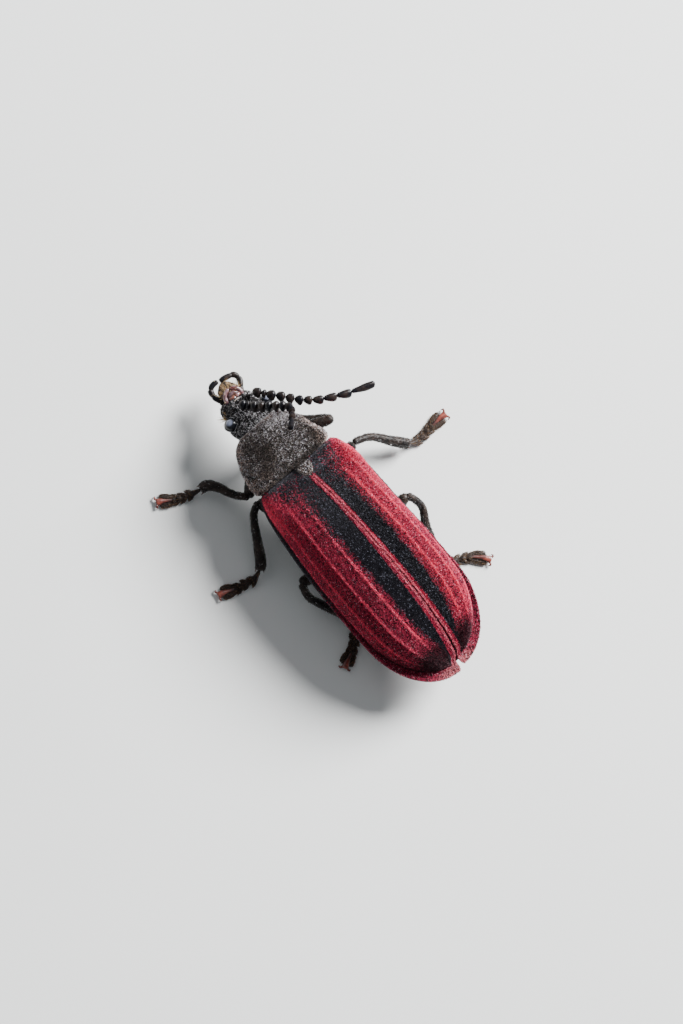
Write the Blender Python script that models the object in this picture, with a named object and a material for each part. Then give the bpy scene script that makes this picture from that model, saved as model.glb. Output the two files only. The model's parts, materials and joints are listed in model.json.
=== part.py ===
"""A life-size sinocaulus beetle, still, in a standing pose with one feeler raised.

Every length below is in millimetres and is turned into metres by MM. The beetle is modelled about the tip of
its scutellum: the head points to -Y, its own left side is +X, and its feet stand on Z = 0. One empty then
moves the whole animal so that the origin is at the bottom centre of its box.
"""

import math

import bmesh
import bpy
from mathutils import Vector

MM = 0.001

# The row frame's origin, seen from the tip of the scutellum.
CENTRE_X = -0.83
CENTRE_Y = 2.06

# Gaps between neighbours.
GAP = 0.04
KNEE_GAP = 0.03

# Welding distance in metres, and the angle from which an edge is shown sharp.
WELD = 1e-7
SHARP_ANGLE_DEG = 40.0

# Elytra: length, greatest half width, margins and the crown along the suture.
ELYTRA_BASE_Y = -0.60
ELYTRA_APEX_Y = 9.20
ELYTRA_WIDEST_Y = 6.0
ELYTRA_HALF_WIDTH = 2.44
ELYTRA_TAPER_POWER = 2.3
ELYTRA_FRONT_WIDTHS = (
    (-0.60, 1.60), (-0.45, 1.80), (0.0, 2.03), (0.5, 2.14), (1.4, 2.25), (2.7, 2.37), (4.2, 2.43), (6.0, 2.44))
SUTURE_HEIGHTS = (
    (-0.60, 2.98), (0.0, 3.15), (1.0, 3.50), (2.2, 3.66), (3.4, 3.71), (5.0, 3.62), (6.1, 3.46), (7.0, 3.18),
    (7.7, 2.88), (8.5, 2.36), (9.0, 1.95), (9.2, 1.72))
MARGIN_HEIGHTS = ((-0.60, 1.95), (1.5, 1.88), (4.5, 1.80), (7.0, 1.74), (9.2, 1.62))
SUTURE_HALF_GAP = 0.02
APEX_HALF_GAP = 0.07
ELYTRA_SIDE_POWER = 0.97
ELYTRA_TOP_POWER = 0.90
ELYTRA_UNDER_PARTS = (0.6, 0.25, 0.0)
ELYTRA_STATIONS = 26
ELYTRA_STATION_EASE = 0.55
ELYTRA_END_INSET = 0.02
ELYTRA_ARC_POINTS = 14

# Pronotum, and the height that its side edges share with the prosternum.
PRONOTUM_WIDTHS = (
    (-2.74, 0.80), (-2.66, 1.05), (-2.50, 1.28), (-2.25, 1.46), (-1.75, 1.69), (-1.2, 1.82), (-0.9, 1.84),
    (-0.74, 1.78), (-0.66, 1.62))
PRONOTUM_CROWN = ((-2.74, 2.56), (-2.4, 2.80), (-1.8, 3.04), (-1.2, 3.10), (-0.66, 3.02))
PRONOTUM_MARGIN_Z = 1.96
PRONOTUM_SIDE_POWER = 0.92
PRONOTUM_TOP_POWER = 0.90
PRONOTUM_UNDER_PARTS = (0.5, 0.0, -0.5)
PRONOTUM_STATIONS = 15
PRONOTUM_ARC_POINTS = 19

# Scutellum, a shield between the bases of the elytra: (part of the half width, y) from its front to its tip.
SCUTELLUM_HALF_WIDTH = 0.36
SCUTELLUM_TOP_Z = 3.12
SCUTELLUM_BOTTOM_Z = 2.0
SHIELD_SIDE = ((1.0, -0.60), (1.0, -0.34), (0.72, -0.14), (0.30, -0.03))
SHIELD_CUTTER_HEIGHTS = (1.5, 4.0)

# Trunk below the pronotum and the elytra: (y, half width, height of its under side).
TRUNK_TOP_DROP = 0.05
TRUNK_POINTS = 17
TRUNK_POWER = 0.9
PROSTERNUM = ((-2.60, 0.95, 1.31), (-2.3, 1.20, 1.13), (-1.6, 1.45, 1.07), (-1.0, 1.50, 1.07), (-0.64, 1.40, 1.13))
THORAX = (
    (-0.52, 1.40, 1.16), (-0.2, 1.70, 1.08), (0.6, 1.92, 1.04), (1.6, 2.06, 1.02), (2.7, 2.20, 1.02),
    (3.5, 2.26, 1.05))
ABDOMEN = (
    (3.56, 2.26, 1.05), (4.4, 2.28, 1.00), (5.4, 2.26, 1.00), (6.4, 2.16, 1.02), (7.2, 1.95, 1.08),
    (7.9, 1.58, 1.18), (8.4, 1.15, 1.27), (8.75, 0.66, 1.34))
VENTRITE_EDGES = (3.56, 4.62, 5.62, 6.52, 7.36, 8.75)
VENTRITE_STEP = 0.05
VENTRITE_GROOVE = 0.04

# Head, turned a little to its right about the neck: (y, half width, bottom, top) from the neck forwards.
NECK = (-0.05, -2.78)
HEAD_TURN_DEG = -5.0
HEAD = (
    (-0.02, 0.90, 1.18, 2.40), (-0.25, 1.00, 1.08, 2.40), (-0.50, 0.98, 1.04, 2.33), (-0.75, 0.86, 1.05, 2.22),
    (-1.00, 0.70, 1.08, 2.08), (-1.20, 0.56, 1.12, 1.96), (-1.36, 0.46, 1.18, 1.84))
MOUTH = ((-1.40, 0.42, 1.20, 1.74), (-1.52, 0.42, 1.16, 1.72), (-1.66, 0.36, 1.16, 1.64), (-1.78, 0.24, 1.20, 1.54))
HEAD_POINTS = 20
EYE_RADIUS = 0.30
EYE_PLACE = (0.84, -0.52, 1.90)
EYE_SEGMENTS = 14
EYE_RINGS = 9

# Feelers: the middle line of each, in beetle coordinates, where their eleven segments end along it, and the
# radius at each segment's base and near its outer end.
FEELER_RIGHT = (
    (-0.66, -3.84, 2.34), (-0.82, -3.56, 2.50), (-0.99, -3.29, 2.66), (-1.22, -2.99, 2.80), (-1.42, -2.70, 2.90),
    (-1.67, -2.39, 2.96), (-1.93, -2.17, 2.98), (-2.22, -1.95, 2.98), (-2.73, -1.68, 2.94), (-3.37, -1.39, 2.86),
    (-4.35, -1.05, 2.80))
FEELER_LEFT = (
    (0.06, -3.80, 2.32), (-0.05, -3.58, 2.50), (-0.22, -3.35, 2.72), (-0.40, -3.12, 2.96), (-0.59, -2.91, 3.20),
    (-0.78, -2.69, 3.46), (-0.88, -2.50, 3.76), (-0.80, -2.34, 4.10), (-0.56, -2.17, 4.46), (-0.24, -1.99, 4.88),
    (0.12, -1.80, 5.34))
FEELER_SEGMENT_ENDS = (0.075, 0.13, 0.205, 0.285, 0.365, 0.445, 0.53, 0.62, 0.725, 0.84, 1.0)
FEELER_BASE_RADIUS = 0.22
FEELER_WIDE_RADIUS = 0.27
FEELER_TIP_RADIUS = 0.17
FEELER_WIDE_AT = 0.86

# Palps, from the sides of the mouth round to the front.
PALP_RADII = (0.17, 0.14, 0.17, 0.15, 0.14)
PALP_STEPS = 9
PALP_LEFT = ((0.40, -1.38, 1.10), (0.56, -1.56, 1.06), (0.62, -1.80, 1.06), (0.44, -2.00, 1.06), (0.22, -2.10, 1.08))
PALP_RIGHT = (
    (-0.46, -1.38, 1.12), (-0.62, -1.56, 1.10), (-0.64, -1.80, 1.10), (-0.44, -2.02, 1.12), (-0.13, -2.14, 1.12))

# Legs: the middle line of femur and tibia, then the tarsus on the floor, from its base to the claws.
FEMUR_RADII = (0.34, 0.36, 0.30, 0.33, 0.33, 0.27)
TIBIA_RADII = (0.22, 0.25, 0.25, 0.26, 0.28)
FEMUR_STEPS = 7
TIBIA_STEPS = 8
TARSUS_THICKNESS = 0.50
TARSUS_STEPS = 13
TARSUS_HALF_WIDTHS = (
    (0.0, 0.22), (0.25, 0.26), (0.45, 0.25), (0.60, 0.33), (0.74, 0.39), (0.84, 0.33), (0.90, 0.22), (1.0, 0.16))
LEGS = {
    "front_left": {
        "femur": ((0.42, -1.95, 0.70), (0.95, -1.50, 0.72), (1.45, -1.12, 0.80), (1.72, -0.90, 0.92)),
        "tibia": ((1.72, -0.90, 0.92), (2.10, -1.34, 0.80), (2.34, -1.92, 0.62), (2.60, -2.33, 0.42)),
        "tarsus": ((2.88, -2.42), (3.24, -2.52), (3.72, -2.67), (4.15, -2.83), (4.48, -3.08))},
    "middle_left": {
        "femur": ((0.55, 1.15, 0.68), (1.05, 0.50, 0.74), (1.45, -0.06, 1.00), (1.70, -0.52, 1.36)),
        "tibia": ((1.70, -0.52, 1.36), (2.20, -0.04, 1.08), (2.66, 0.72, 0.70), (2.97, 1.30, 0.42)),
        "tarsus": ((3.22, 1.42), (3.60, 1.48), (4.06, 1.38), (4.60, 1.27), (5.06, 1.22))},
    "hind_left": {
        "femur": ((0.60, 3.45, 0.66), (1.20, 3.25, 0.68), (1.85, 2.98, 0.88), (2.45, 2.82, 1.18)),
        "tibia": ((2.45, 2.82, 1.18), (2.46, 3.50, 0.96), (2.22, 4.30, 0.68), (2.10, 5.15, 0.42)),
        "tarsus": ((2.16, 5.48), (2.30, 5.74), (2.62, 6.00), (2.93, 6.18), (3.18, 6.38))},
    "front_right": {
        "femur": ((-0.42, -1.95, 0.70), (-1.10, -1.72, 0.78), (-1.86, -1.42, 1.10), (-2.66, -1.10, 1.40)),
        "tibia": ((-2.66, -1.34, 0.86), (-2.32, -1.80, 0.70), (-2.00, -2.24, 0.56), (-1.72, -2.66, 0.42)),
        "tarsus": ((-1.58, -2.96), (-1.42, -3.26), (-1.26, -3.52), (-1.12, -3.76), (-0.98, -4.08))},
    "middle_right": {
        "femur": ((-0.55, 1.15, 0.68), (-1.20, 0.86, 0.72), (-1.90, 0.48, 0.92), (-2.66, 0.08, 1.26)),
        "tibia": ((-2.66, 0.08, 1.26), (-3.42, 0.38, 1.02), (-4.08, 1.04, 0.66), (-4.56, 1.50, 0.42)),
        "tarsus": ((-4.86, 1.60), (-5.23, 1.64), (-5.80, 1.58), (-6.23, 1.55), (-6.70, 1.58))},
    "hind_right": {
        "femur": ((-0.60, 3.45, 0.66), (-1.30, 3.30, 0.70), (-2.10, 3.08, 0.92), (-2.92, 2.90, 1.24)),
        "tibia": ((-2.92, 2.90, 1.24), (-2.96, 3.60, 1.00), (-2.76, 4.60, 0.68), (-2.68, 5.52, 0.42)),
        "tarsus": ((-2.78, 5.84), (-3.02, 5.98), (-3.51, 6.21), (-3.91, 6.52), (-4.13, 6.90))},
}

# How finely a round bar is divided: the slim ones and the legs.
SLIM_LEVEL = 2
LEG_LEVEL = 3

# Colour, roughness and metallic value of each finish.
FINISHES = {
    "red_velvet": ((0.42, 0.03, 0.05), 0.62, 0.0),
    "grey_velvet": ((0.10, 0.085, 0.08), 0.68, 0.0),
    "black_cuticle": ((0.022, 0.020, 0.021), 0.38, 0.0),
    "eye_gloss": ((0.006, 0.006, 0.008), 0.10, 0.0),
    "horn_brown": ((0.28, 0.10, 0.07), 0.30, 0.0),
    "leg_black": ((0.032, 0.028, 0.026), 0.52, 0.0),
}


def clear_scene():
    for thing in list(bpy.data.objects):
        bpy.data.objects.remove(thing)


def make_materials():
    made = {}
    for name, (colour, roughness, metallic) in FINISHES.items():
        material = bpy.data.materials.new(name)
        material.use_nodes = True
        shader = material.node_tree.nodes["Principled BSDF"]
        shader.inputs["Base Color"].default_value = (*colour, 1.0)
        shader.inputs["Roughness"].default_value = roughness
        shader.inputs["Metallic"].default_value = metallic
        made[name] = material
    return made


def read_profile(profile, y):
    """The value at y of a smooth curve through (y, value) pairs, by cubic pieces."""
    last = len(profile) - 1
    if y <= profile[0][0]:
        return profile[0][1]
    if y >= profile[last][0]:
        return profile[last][1]
    i = 0
    while y > profile[i + 1][0]:
        i += 1

    def slope(k):
        before, after = max(k - 1, 0), min(k + 1, last)
        return (profile[after][1] - profile[before][1]) / (profile[after][0] - profile[before][0])

    (y0, v0), (y1, v1) = profile[i], profile[i + 1]
    span = y1 - y0
    t = (y - y0) / span
    return (
        v0 * (2 * t**3 - 3 * t**2 + 1)
        + v1 * (3 * t**2 - 2 * t**3)
        + slope(i) * span * (t**3 - 2 * t**2 + t)
        + slope(i + 1) * span * (t**3 - t**2)
    )


def point_on(points, part):
    """The point at a part, 0 to 1, of a smooth curve through the given ones."""
    index = part * (len(points) - 1)
    return tuple(read_profile([(i, p[k]) for i, p in enumerate(points)], index) for k in range(len(points[0])))


def smooth_path(points, steps):
    return [point_on(points, i / (steps - 1)) for i in range(steps)]


def link_mesh(name, mesh, material, parent, group):
    thing = bpy.data.objects.new(name, mesh)
    group.objects.link(thing)
    thing.parent = parent
    if material is not None:
        mesh.materials.append(material)
    mesh.shade_smooth()
    mesh.set_sharp_from_angle(angle=math.radians(SHARP_ANGLE_DEG))
    return thing


def loft(name, rings, material, parent, group):
    """A closed body through rings of equally many points, with a flat face on each end."""
    shape = bmesh.new()
    loops = [[shape.verts.new(Vector(point) * MM) for point in ring] for ring in rings]
    count = len(rings[0])
    for before, after in zip(loops, loops[1:]):
        for i in range(count):
            j = (i + 1) % count
            shape.faces.new((before[i], before[j], after[j], after[i]))
    shape.faces.new(loops[0])
    shape.faces.new(loops[-1])
    bmesh.ops.recalc_face_normals(shape, faces=shape.faces)
    bmesh.ops.triangulate(shape, faces=[f for f in shape.faces if len(f.verts) > 4])
    mesh = bpy.data.meshes.new(name)
    shape.to_mesh(mesh)
    shape.free()
    return link_mesh(name, mesh, material, parent, group)


def tube(name, path, radii, level, material, parent, group):
    """A round bar along a path with a radius at each of its points, closed at both ends."""
    curve = bpy.data.curves.new(name + "_line", "CURVE")
    curve.dimensions = "3D"
    curve.bevel_depth = MM
    curve.bevel_resolution = level
    curve.use_fill_caps = True
    spline = curve.splines.new("POLY")
    spline.points.add(len(path) - 1)
    for spot, point, radius in zip(spline.points, path, radii):
        spot.co = (*(Vector(point) * MM), 1.0)
        spot.radius = radius
    line = bpy.data.objects.new(name + "_line", curve)
    group.objects.link(line)
    evaluated = line.evaluated_get(bpy.context.evaluated_depsgraph_get())
    mesh = bpy.data.meshes.new_from_object(evaluated)
    mesh.name = name
    bpy.data.objects.remove(line)
    shape = bmesh.new()
    shape.from_mesh(mesh)
    bmesh.ops.remove_doubles(shape, verts=shape.verts, dist=WELD)
    shape.to_mesh(mesh)
    shape.free()
    return link_mesh(name, mesh, material, parent, group)


def spread(radii, count):
    """As many radii as there are points, read from a short list of them."""
    return [read_profile(list(enumerate(radii)), i / (count - 1) * (len(radii) - 1)) for i in range(count)]


def cut(thing, cutter):
    cutter.hide_render = True
    cutter.display_type = "WIRE"
    trim = thing.modifiers.new("Cut", "BOOLEAN")
    trim.operation = "DIFFERENCE"
    trim.object = cutter


def flat_plate(name, outline, low, high, material, parent, group):
    """A flat outline, given in x and y, with upright sides between two heights."""
    curve = bpy.data.curves.new(name, "CURVE")
    curve.dimensions = "2D"
    curve.fill_mode = "BOTH"
    curve.extrude = (high - low) / 2 * MM
    spline = curve.splines.new("POLY")
    spline.points.add(len(outline) - 1)
    for point, (x, y) in zip(spline.points, outline):
        point.co = (x * MM, y * MM, 0.0, 1.0)
    spline.use_cyclic_u = True
    thing = bpy.data.objects.new(name, curve)
    group.objects.link(thing)
    thing.parent = parent
    thing.location = (0.0, 0.0, (low + high) / 2 * MM)
    curve.materials.append(material)
    return thing


def elytra_width(y):
    if y <= ELYTRA_WIDEST_Y:
        return read_profile(ELYTRA_FRONT_WIDTHS, y)
    part = (y - ELYTRA_WIDEST_Y) / (ELYTRA_APEX_Y - ELYTRA_WIDEST_Y)
    return ELYTRA_HALF_WIDTH * math.sqrt(max(1.0 - part**ELYTRA_TAPER_POWER, 0.0))


def elytron_ring(y, side):
    """One section of a wing case: the arched top from the suture to the side, then the flat under side."""
    half_gap = SUTURE_HALF_GAP + (APEX_HALF_GAP - SUTURE_HALF_GAP) * max(y / ELYTRA_APEX_Y, 0.0) ** 3
    width = elytra_width(y)
    margin = read_profile(MARGIN_HEIGHTS, y)
    rise = read_profile(SUTURE_HEIGHTS, y) - margin
    ring = []
    for i in range(ELYTRA_ARC_POINTS):
        turn = math.pi / 2 * i / (ELYTRA_ARC_POINTS - 1)
        x = half_gap + (width - half_gap) * math.sin(turn) ** ELYTRA_SIDE_POWER
        ring.append((side * x, y, margin + rise * max(math.cos(turn), 0.0) ** ELYTRA_TOP_POWER))
    ring += [(side * (half_gap + (width - half_gap) * part), y, margin) for part in ELYTRA_UNDER_PARTS]
    return ring


def make_elytra(materials, frame, parts, cutter):
    for word, side in (("left", 1), ("right", -1)):
        rings = []
        for i in range(ELYTRA_STATIONS):
            part = i / (ELYTRA_STATIONS - 1)
            eased = (1 - math.cos(math.pi * part)) / 2
            part += (eased - part) * ELYTRA_STATION_EASE
            y = ELYTRA_BASE_Y + (ELYTRA_APEX_Y - ELYTRA_END_INSET - ELYTRA_BASE_Y) * part
            rings.append(elytron_ring(y, side))
        cut(loft("elytron_" + word, rings, materials["red_velvet"], frame, parts), cutter)


def shield_outline(grow):
    """The scutellum seen from above, larger by grow at the sides and twice that at its front and tip."""
    right = []
    for i, (part, y) in enumerate(SHIELD_SIDE):
        shift = -2 * grow if i == 0 else 2 * grow * i / (len(SHIELD_SIDE) - 1)
        right.append(((SCUTELLUM_HALF_WIDTH + grow) * part, y + shift))
    return right + [(-x, y) for x, y in reversed(right)]


def make_pronotum(materials, frame, parts):
    rings = []
    first, last = PRONOTUM_WIDTHS[0][0], PRONOTUM_WIDTHS[-1][0]
    for i in range(PRONOTUM_STATIONS):
        part = i / (PRONOTUM_STATIONS - 1)
        y = first + (last - first) * (1 - math.cos(math.pi * part)) / 2
        width = read_profile(PRONOTUM_WIDTHS, y)
        rise = read_profile(PRONOTUM_CROWN, y) - PRONOTUM_MARGIN_Z
        ring = []
        for k in range(PRONOTUM_ARC_POINTS):
            turn = math.pi * (k / (PRONOTUM_ARC_POINTS - 1) - 0.5)
            bulge = math.copysign(abs(math.sin(turn)) ** PRONOTUM_SIDE_POWER, turn)
            arch = max(math.cos(turn), 0.0) ** PRONOTUM_TOP_POWER
            ring.append((width * bulge, y, PRONOTUM_MARGIN_Z + rise * arch))
        ring += [(width * part_x, y, PRONOTUM_MARGIN_Z) for part_x in PRONOTUM_UNDER_PARTS]
        rings.append(ring)
    loft("pronotum", rings, materials["grey_velvet"], frame, parts)


def make_trunk(name, sections, top_of, materials, frame, parts):
    """A part of the trunk: flat on top, rounded below."""
    rings = []
    for y, half, low in sections:
        top = top_of(y) - TRUNK_TOP_DROP
        ring = []
        for k in range(TRUNK_POINTS):
            turn = math.pi * k / (TRUNK_POINTS - 1)
            hang = max(math.sin(turn), 0.0) ** TRUNK_POWER
            ring.append((half * math.cos(turn), y, top - (top - low) * hang))
        rings.append(ring + [(-half * 0.5, y, top), (half * 0.5, y, top)])
    loft(name, rings, materials["black_cuticle"], frame, parts)


def ventrite_sections():
    """The belly's five plates, each a little deeper at its hind edge than the next one's front edge."""
    halves = [(y, half) for y, half, low in ABDOMEN]
    lows = [(y, low) for y, half, low in ABDOMEN]
    sections = []
    for front, back in zip(VENTRITE_EDGES, VENTRITE_EDGES[1:]):
        for y, step in ((front + VENTRITE_GROOVE, VENTRITE_STEP), ((front + back) / 2, VENTRITE_STEP / 2), (back, 0.0)):
            sections.append((y, read_profile(halves, y), read_profile(lows, y) + step))
    return sections


def oval_rings(sections, points):
    rings = []
    for y, half, low, high in sections:
        middle, tall = (low + high) / 2, (high - low) / 2
        turns = [2 * math.pi * k / points for k in range(points)]
        rings.append([(half * math.cos(turn), y, middle + tall * math.sin(turn)) for turn in turns])
    return rings


def make_head(materials, frame, parts, cutters):
    neck = bpy.data.objects.new("neck_joint", None)
    parts.objects.link(neck)
    neck.parent = frame
    neck.location = (NECK[0] * MM, NECK[1] * MM, 0.0)
    neck.rotation_euler = (0.0, 0.0, math.radians(HEAD_TURN_DEG))
    head = loft("head", oval_rings(HEAD, HEAD_POINTS), materials["black_cuticle"], neck, parts)
    loft("mouthparts", oval_rings(MOUTH, HEAD_POINTS), materials["horn_brown"], neck, parts)
    for word, side in (("left", 1), ("right", -1)):
        place = Vector((side * EYE_PLACE[0], EYE_PLACE[1], EYE_PLACE[2])) * MM
        for name, radius, group in (("eye_" + word, EYE_RADIUS, parts), ("socket_" + word, EYE_RADIUS + GAP, cutters)):
            ball = bmesh.new()
            bmesh.ops.create_uvsphere(ball, u_segments=EYE_SEGMENTS, v_segments=EYE_RINGS, radius=radius * MM)
            mesh = bpy.data.meshes.new(name)
            ball.to_mesh(mesh)
            ball.free()
            thing = link_mesh(name, mesh, materials["eye_gloss"], neck, group)
            thing.location = place
            if group is cutters:
                cut(head, thing)
    for word, path in (("left", PALP_LEFT), ("right", PALP_RIGHT)):
        steps = smooth_path(path, PALP_STEPS)
        radii = spread(PALP_RADII, PALP_STEPS)
        tube("palp_" + word, steps, radii, SLIM_LEVEL, materials["black_cuticle"], neck, parts)


def make_feelers(materials, frame, parts):
    """Each feeler is one bar that swells towards the outer end of every segment."""
    for word, line in (("left", FEELER_LEFT), ("right", FEELER_RIGHT)):
        path, radii = [point_on(line, 0.0)], [FEELER_BASE_RADIUS]
        start = 0.0
        for end in FEELER_SEGMENT_ENDS:
            path.append(point_on(line, start + (end - start) * FEELER_WIDE_AT))
            radii.append(FEELER_WIDE_RADIUS)
            path.append(point_on(line, end))
            radii.append(FEELER_BASE_RADIUS)
            start = end
        radii[-1] = FEELER_TIP_RADIUS
        tube("antenna_" + word, path, radii, SLIM_LEVEL, materials["black_cuticle"], frame, parts)


def tarsus_outline(path):
    """The foot seen from above: the path's width grows to the two lobes and then narrows to the claws."""
    line = smooth_path(path, TARSUS_STEPS)
    left, right = [], []
    for i, (x, y) in enumerate(line):
        before, after = line[max(i - 1, 0)], line[min(i + 1, TARSUS_STEPS - 1)]
        way = Vector((after[0] - before[0], after[1] - before[1])).normalized()
        half = read_profile(TARSUS_HALF_WIDTHS, i / (TARSUS_STEPS - 1))
        left.append((x - way.y * half, y + way.x * half))
        right.append((x + way.y * half, y - way.x * half))
    return right + left[::-1]


def make_leg(name, leg, materials, frame, parts, cutters):
    black = materials["leg_black"]
    thigh = smooth_path(leg["femur"], FEMUR_STEPS)
    shin = smooth_path(leg["tibia"], TIBIA_STEPS)
    thigh_radii = spread(FEMUR_RADII, FEMUR_STEPS)
    tube("femur_" + name, thigh, thigh_radii, LEG_LEVEL, black, frame, parts)
    tibia = tube("tibia_" + name, shin, spread(TIBIA_RADII, TIBIA_STEPS), LEG_LEVEL, black, frame, parts)
    if leg["femur"][-1] == leg["tibia"][0]:
        wider = [radius + KNEE_GAP for radius in thigh_radii]
        way = (Vector(thigh[-1]) - Vector(thigh[-2])).normalized()
        longer = thigh[:-1] + [tuple(Vector(thigh[-1]) + way * KNEE_GAP)]
        cut(tibia, tube("knee_" + name, longer, wider, LEG_LEVEL, None, frame, cutters))
    flat_plate("tarsus_" + name, tarsus_outline(leg["tarsus"]), 0.0, TARSUS_THICKNESS, black, frame, parts)


def main():
    clear_scene()
    parts = bpy.data.collections.new("sinocaulus_beetle")
    cutters = bpy.data.collections.new("cutters")
    for group in (parts, cutters):
        bpy.context.scene.collection.children.link(group)
    frame = bpy.data.objects.new("beetle_frame", None)
    parts.objects.link(frame)
    frame.location = (-CENTRE_X * MM, -CENTRE_Y * MM, 0.0)
    materials = make_materials()

    shield = shield_outline(0.0)
    flat_plate("scutellum", shield, SCUTELLUM_BOTTOM_Z, SCUTELLUM_TOP_Z, materials["grey_velvet"], frame, parts)
    cutter_rings = [[(x, y, z) for x, y in shield_outline(GAP)] for z in SHIELD_CUTTER_HEIGHTS]
    base = loft("scutellum_cutter", cutter_rings, None, frame, cutters)
    make_elytra(materials, frame, parts, base)
    make_pronotum(materials, frame, parts)
    make_trunk("prosternum", PROSTERNUM, lambda y: PRONOTUM_MARGIN_Z, materials, frame, parts)
    make_trunk("thorax", THORAX, lambda y: read_profile(MARGIN_HEIGHTS, y), materials, frame, parts)
    make_trunk("abdomen", ventrite_sections(), lambda y: read_profile(MARGIN_HEIGHTS, y), materials, frame, parts)
    make_head(materials, frame, parts, cutters)
    make_feelers(materials, frame, parts)
    for name, leg in LEGS.items():
        make_leg(name, leg, materials, frame, parts, cutters)


main()
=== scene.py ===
"""A life-size sinocaulus beetle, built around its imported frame.

Shapes are worked out in millimetres from the tip of the scutellum, with the head towards -Y and the
beetle's own left side at +X, and are moved into the frame as each mesh is made.
"""

import json
import math

import bpy
import numpy as np
from bpy.props import FloatProperty, FloatVectorProperty, IntProperty, PointerProperty
from mathutils import Matrix, Vector, noise

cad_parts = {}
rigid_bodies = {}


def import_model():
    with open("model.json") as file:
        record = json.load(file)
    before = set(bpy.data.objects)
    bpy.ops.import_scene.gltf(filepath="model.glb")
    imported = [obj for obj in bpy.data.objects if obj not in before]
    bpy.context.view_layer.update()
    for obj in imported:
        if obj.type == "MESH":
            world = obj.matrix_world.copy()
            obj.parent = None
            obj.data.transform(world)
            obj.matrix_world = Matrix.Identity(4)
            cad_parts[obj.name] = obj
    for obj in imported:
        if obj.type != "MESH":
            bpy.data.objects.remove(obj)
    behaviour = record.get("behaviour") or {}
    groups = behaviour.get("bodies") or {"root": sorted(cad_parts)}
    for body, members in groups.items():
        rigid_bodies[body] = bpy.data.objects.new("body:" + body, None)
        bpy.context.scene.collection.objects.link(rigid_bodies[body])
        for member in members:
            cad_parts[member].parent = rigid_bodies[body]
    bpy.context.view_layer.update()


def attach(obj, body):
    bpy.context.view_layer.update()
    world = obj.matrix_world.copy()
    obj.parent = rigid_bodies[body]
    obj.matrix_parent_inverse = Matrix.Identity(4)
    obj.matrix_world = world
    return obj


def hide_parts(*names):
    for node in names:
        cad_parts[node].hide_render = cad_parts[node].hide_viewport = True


bl_info = {
    "name": "Sinocaulus Beetle",
    "version": (1, 0, 0),
    "blender": (4, 5, 0),
    "location": "View3D > Sidebar > Beetle",
    "description": "Builds a still, life-size sinocaulus beetle with its hairs",
    "category": "Add Mesh",
}

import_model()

MM = 0.001
SHIFT = np.array((0.83, -2.06, 0.0))
SHARP_ANGLE = math.radians(42.0)
TINY = 1e-6
LOOK = "beetle_"

# Elytra.
ELYTRA_BASE_Y = -0.60
ELYTRA_APEX_Y = 9.20
ELYTRA_WIDEST_Y = 6.0
ELYTRA_HALF_WIDTH = 2.44
ELYTRA_TAPER_POWER = 2.15
ELYTRA_TIP_X = 0.20
ELYTRA_TIP_ROUND = 0.25
ELYTRA_FRONT_WIDTHS = (
    (-0.60, 1.68), (-0.52, 1.79), (-0.40, 1.88), (0.0, 2.02), (0.5, 2.13), (1.4, 2.25), (2.7, 2.37),
    (4.2, 2.43), (6.0, 2.44))
SUTURE_HEIGHTS = (
    (-0.60, 2.98), (0.0, 3.15), (1.0, 3.50), (2.2, 3.66), (3.4, 3.71), (5.0, 3.62), (6.1, 3.46),
    (7.0, 3.18), (7.7, 2.88), (8.4, 2.42), (8.75, 2.08), (8.95, 1.82), (9.2, 1.70))
MARGIN_HEIGHTS = ((-0.60, 1.95), (1.5, 1.88), (4.5, 1.80), (7.0, 1.74), (9.2, 1.62))
RIM_WIDTHS = ((-0.60, 0.04), (0.0, 0.08), (1.0, 0.15), (4.0, 0.17), (6.0, 0.21), (7.5, 0.29), (9.2, 0.34))
ELYTRA_WALL = 0.10
SHIELD_HALF_WIDTHS = ((-0.62, 0.31), (-0.36, 0.31), (-0.22, 0.26), (-0.12, 0.19), (-0.05, 0.09), (0.0, 0.0))
RIDGES = (0.37, 0.57, 0.77)
ARCH_POWER = 0.97

# Outer edge of the black stripe, in millimetres from the suture, along the elytra.
STRIPE_EDGE = (
    (-0.6, 0.80), (0.0, 0.82), (0.8, 0.84), (2.0, 0.88), (3.5, 0.92), (5.5, 0.88), (6.8, 0.76), (7.5, 0.58),
    (8.1, 0.28), (9.2, 0.10))
STRIPE_SCALE = 2.0
RIGHT_STRIPE_SCALE = 1.16

# Grains of colour on a millimetre of the hairy plates.
ELYTRA_GRAIN = 29.0
PRONOTUM_GRAIN = 32.0

# Pronotum.
PRONOTUM_WIDTHS = (
    (-2.74, 0.80), (-2.66, 1.05), (-2.50, 1.28), (-2.25, 1.46), (-1.75, 1.69), (-1.2, 1.82), (-0.9, 1.84),
    (-0.74, 1.78), (-0.66, 1.62))
PRONOTUM_CROWN = ((-2.74, 2.56), (-2.4, 2.80), (-1.8, 3.04), (-1.2, 3.10), (-0.66, 3.02))
PRONOTUM_MARGIN_Z = 1.96

# Trunk: (y, half width, height of its under side).
PROSTERNUM = (
    (-2.62, 0.90, 1.35), (-2.3, 1.22, 1.13), (-1.6, 1.50, 1.07), (-1.0, 1.62, 1.07), (-0.56, 1.62, 1.13))
THORAX = (
    (-0.58, 1.60, 1.16), (-0.2, 1.80, 1.08), (0.6, 1.96, 1.04), (1.6, 2.06, 1.02), (2.7, 2.20, 1.02),
    (3.58, 2.26, 1.04))
ABDOMEN = (
    (3.52, 2.26, 1.05), (4.4, 2.28, 1.00), (5.4, 2.26, 1.00), (6.4, 2.16, 1.02), (7.2, 1.95, 1.08),
    (7.9, 1.58, 1.18), (8.3, 1.15, 1.27), (8.62, 0.66, 1.34), (8.82, 0.34, 1.42))
VENTRITE_EDGES = (3.52, 4.62, 5.62, 6.52, 7.36, 9.20)

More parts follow.
